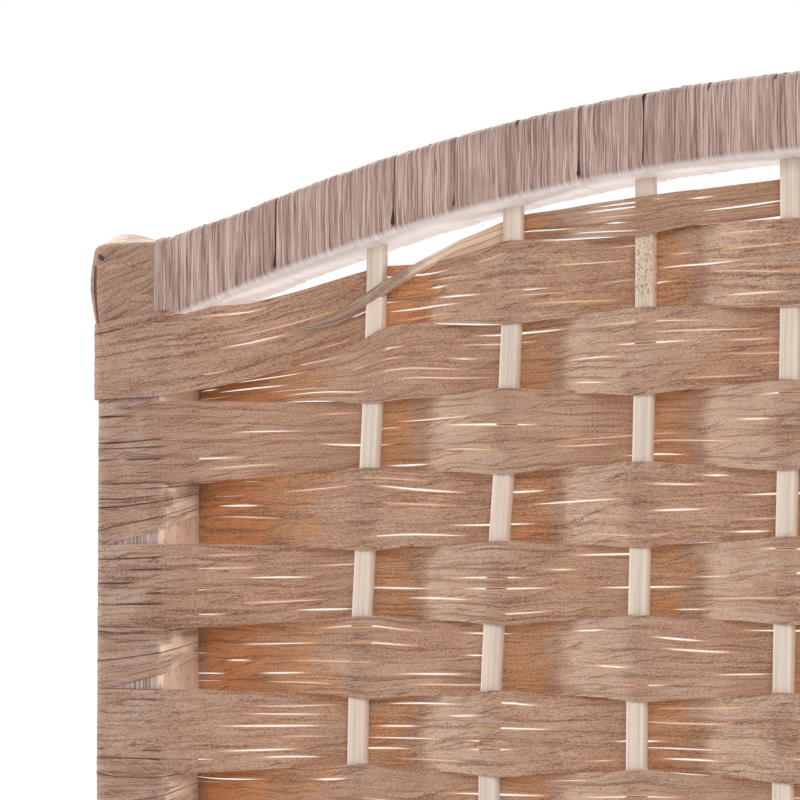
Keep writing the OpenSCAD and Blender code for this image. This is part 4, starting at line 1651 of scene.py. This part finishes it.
@dataclass(frozen=True)
class Studio:
    """Camera, lamps, floor and world."""

    focal_mm: float = 168.2
    sensor_mm: float = 36.0
    clip_end: float = 100.0
    camera_x: float = 362.0
    camera_y: float = -880.4
    camera_drop: float = 107.1
    turn_degrees: float = 29.44
    pitch_degrees: float = 3.55
    floor_size: float = 9.0
    floor_grey: float = 0.86
    floor_seen: float = 0.7
    world_light: float = 0.42
    lamps: tuple[Lamp, ...] = (
        Lamp("key", (-0.15, -3.7, 2.7), (0, 0, 1.2), 1.6, 65),
        Lamp("side", (-3.3, 1.0, 1.9), (-0.4, 0.1, 1.5), 0.35, 52),
        Lamp("right", (2.6, -2.2, 1.9), (-0.4, 0, 1.5), 1.0, 42),
        Lamp("under", (-0.5, 1.6, 0.3), (-0.4, 0, 1.7), 1.2, 23),
        Lamp("back", (-1.2, 2.4, 4.2), (-0.3, 0, 1.4), 2.0, 100))

    def camera(self, panel: Panel) -> None:
        """Sets up the camera.

        Args:
            panel: The left panel, from which the camera's place is measured.
        """
        data = bpy.data.cameras.new("camera")
        data.lens = self.focal_mm
        data.sensor_width = self.sensor_mm
        data.clip_end = self.clip_end
        turn, pitch = math.radians(self.turn_degrees), math.radians(self.pitch_degrees)
        ahead = Vector((-math.sin(turn) * math.cos(pitch), math.cos(turn) * math.cos(pitch), math.sin(pitch)))
        place = Vector((self.camera_x, self.camera_y, SIZES.stile_h - self.camera_drop)) * MM
        matrix = panel.matrix()
        camera = linked("camera", data)
        aimed(camera, matrix @ place, matrix.to_3x3() @ ahead)
        bpy.context.scene.camera = camera

    def floor(self) -> None:
        """Lays a plain white floor that keeps the shadow."""
        half = self.floor_size / 2
        mesh = bpy.data.meshes.new("floor")
        corners = [(-half, -half, 0), (half, -half, 0), (half, half, 0), (-half, half, 0)]
        mesh.from_pydata(corners, [], [(0, 1, 2, 3)])
        kit = Nodes.of("floor")
        matt = kit.node("ShaderNodeBsdfDiffuse", {"Color": (self.floor_grey,) * 3})
        white = kit.node("ShaderNodeEmission", {"Color": (1, 1, 1)})
        share = kit.product(kit.seen(), self.floor_seen)
        mesh.materials.append(kit.finish(kit.both(share, matt, white)))
        floor = linked("floor", mesh)

    def world(self) -> None:
        """Plain white surroundings, seen at full white and lighting the screen at a lower level."""
        kit = Nodes(bpy.data.worlds.new("studio"), "ShaderNodeOutputWorld")
        level = kit.maths("MULTIPLY_ADD", kit.seen(), 1 - self.world_light, self.world_light)
        back = kit.node("ShaderNodeBackground", {"Color": (1, 1, 1), "Strength": level})
        bpy.context.scene.world = kit.finish(back)

    def build(self, left_panel: Panel) -> None:
        """Sets the whole studio up.

        Args:
            left_panel: The panel that the camera looks at.
        """
        self.camera(left_panel)
        for lamp in self.lamps:
            lamp.hang()
        self.floor()
        self.world()


def report(piece: Object) -> None:
    """Logs a finished piece."""
    log.info("%s: %d faces", piece.name, len(piece.data.polygons))


def main() -> None:
    """Builds every sub-assembly in order and reports the pieces."""
    logging.basicConfig(level=logging.INFO, format="%(message)s")
    bpy.context.scene.view_settings.view_transform = "Standard"
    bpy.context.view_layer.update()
    panels = [Panel("left_panel", LEFT), Panel("middle_panel", 0), Panel("right_panel", RIGHT)]
    materials = make_finishes()
    dress_solids(materials)
    Studio().build(panels[0])
    for number, panel in enumerate(panels):
        rng = np.random.default_rng(WEAVE_SEED + number)
        for first, part in ((0, "odd_rows"), (1, "even_rows")):
            report(Weave(panel, materials["rows"], rng).level_rows(first, part))
        report(ArchedRows(panel, materials["rows"], rng).rows())
        report(StileWraps(panel, materials["wraps"], rng).wraps())
        rng = np.random.default_rng(TAPE_SEED + number)
        tape = CrepeTape(panel, materials["tape"], rng)
        for arched in (True, False):
            report(tape.sleeve(arched))
        report(tape.strips())
        report(Stakes(panel, materials["stakes"], rng).rods())


if __name__ == "__main__":
    main()
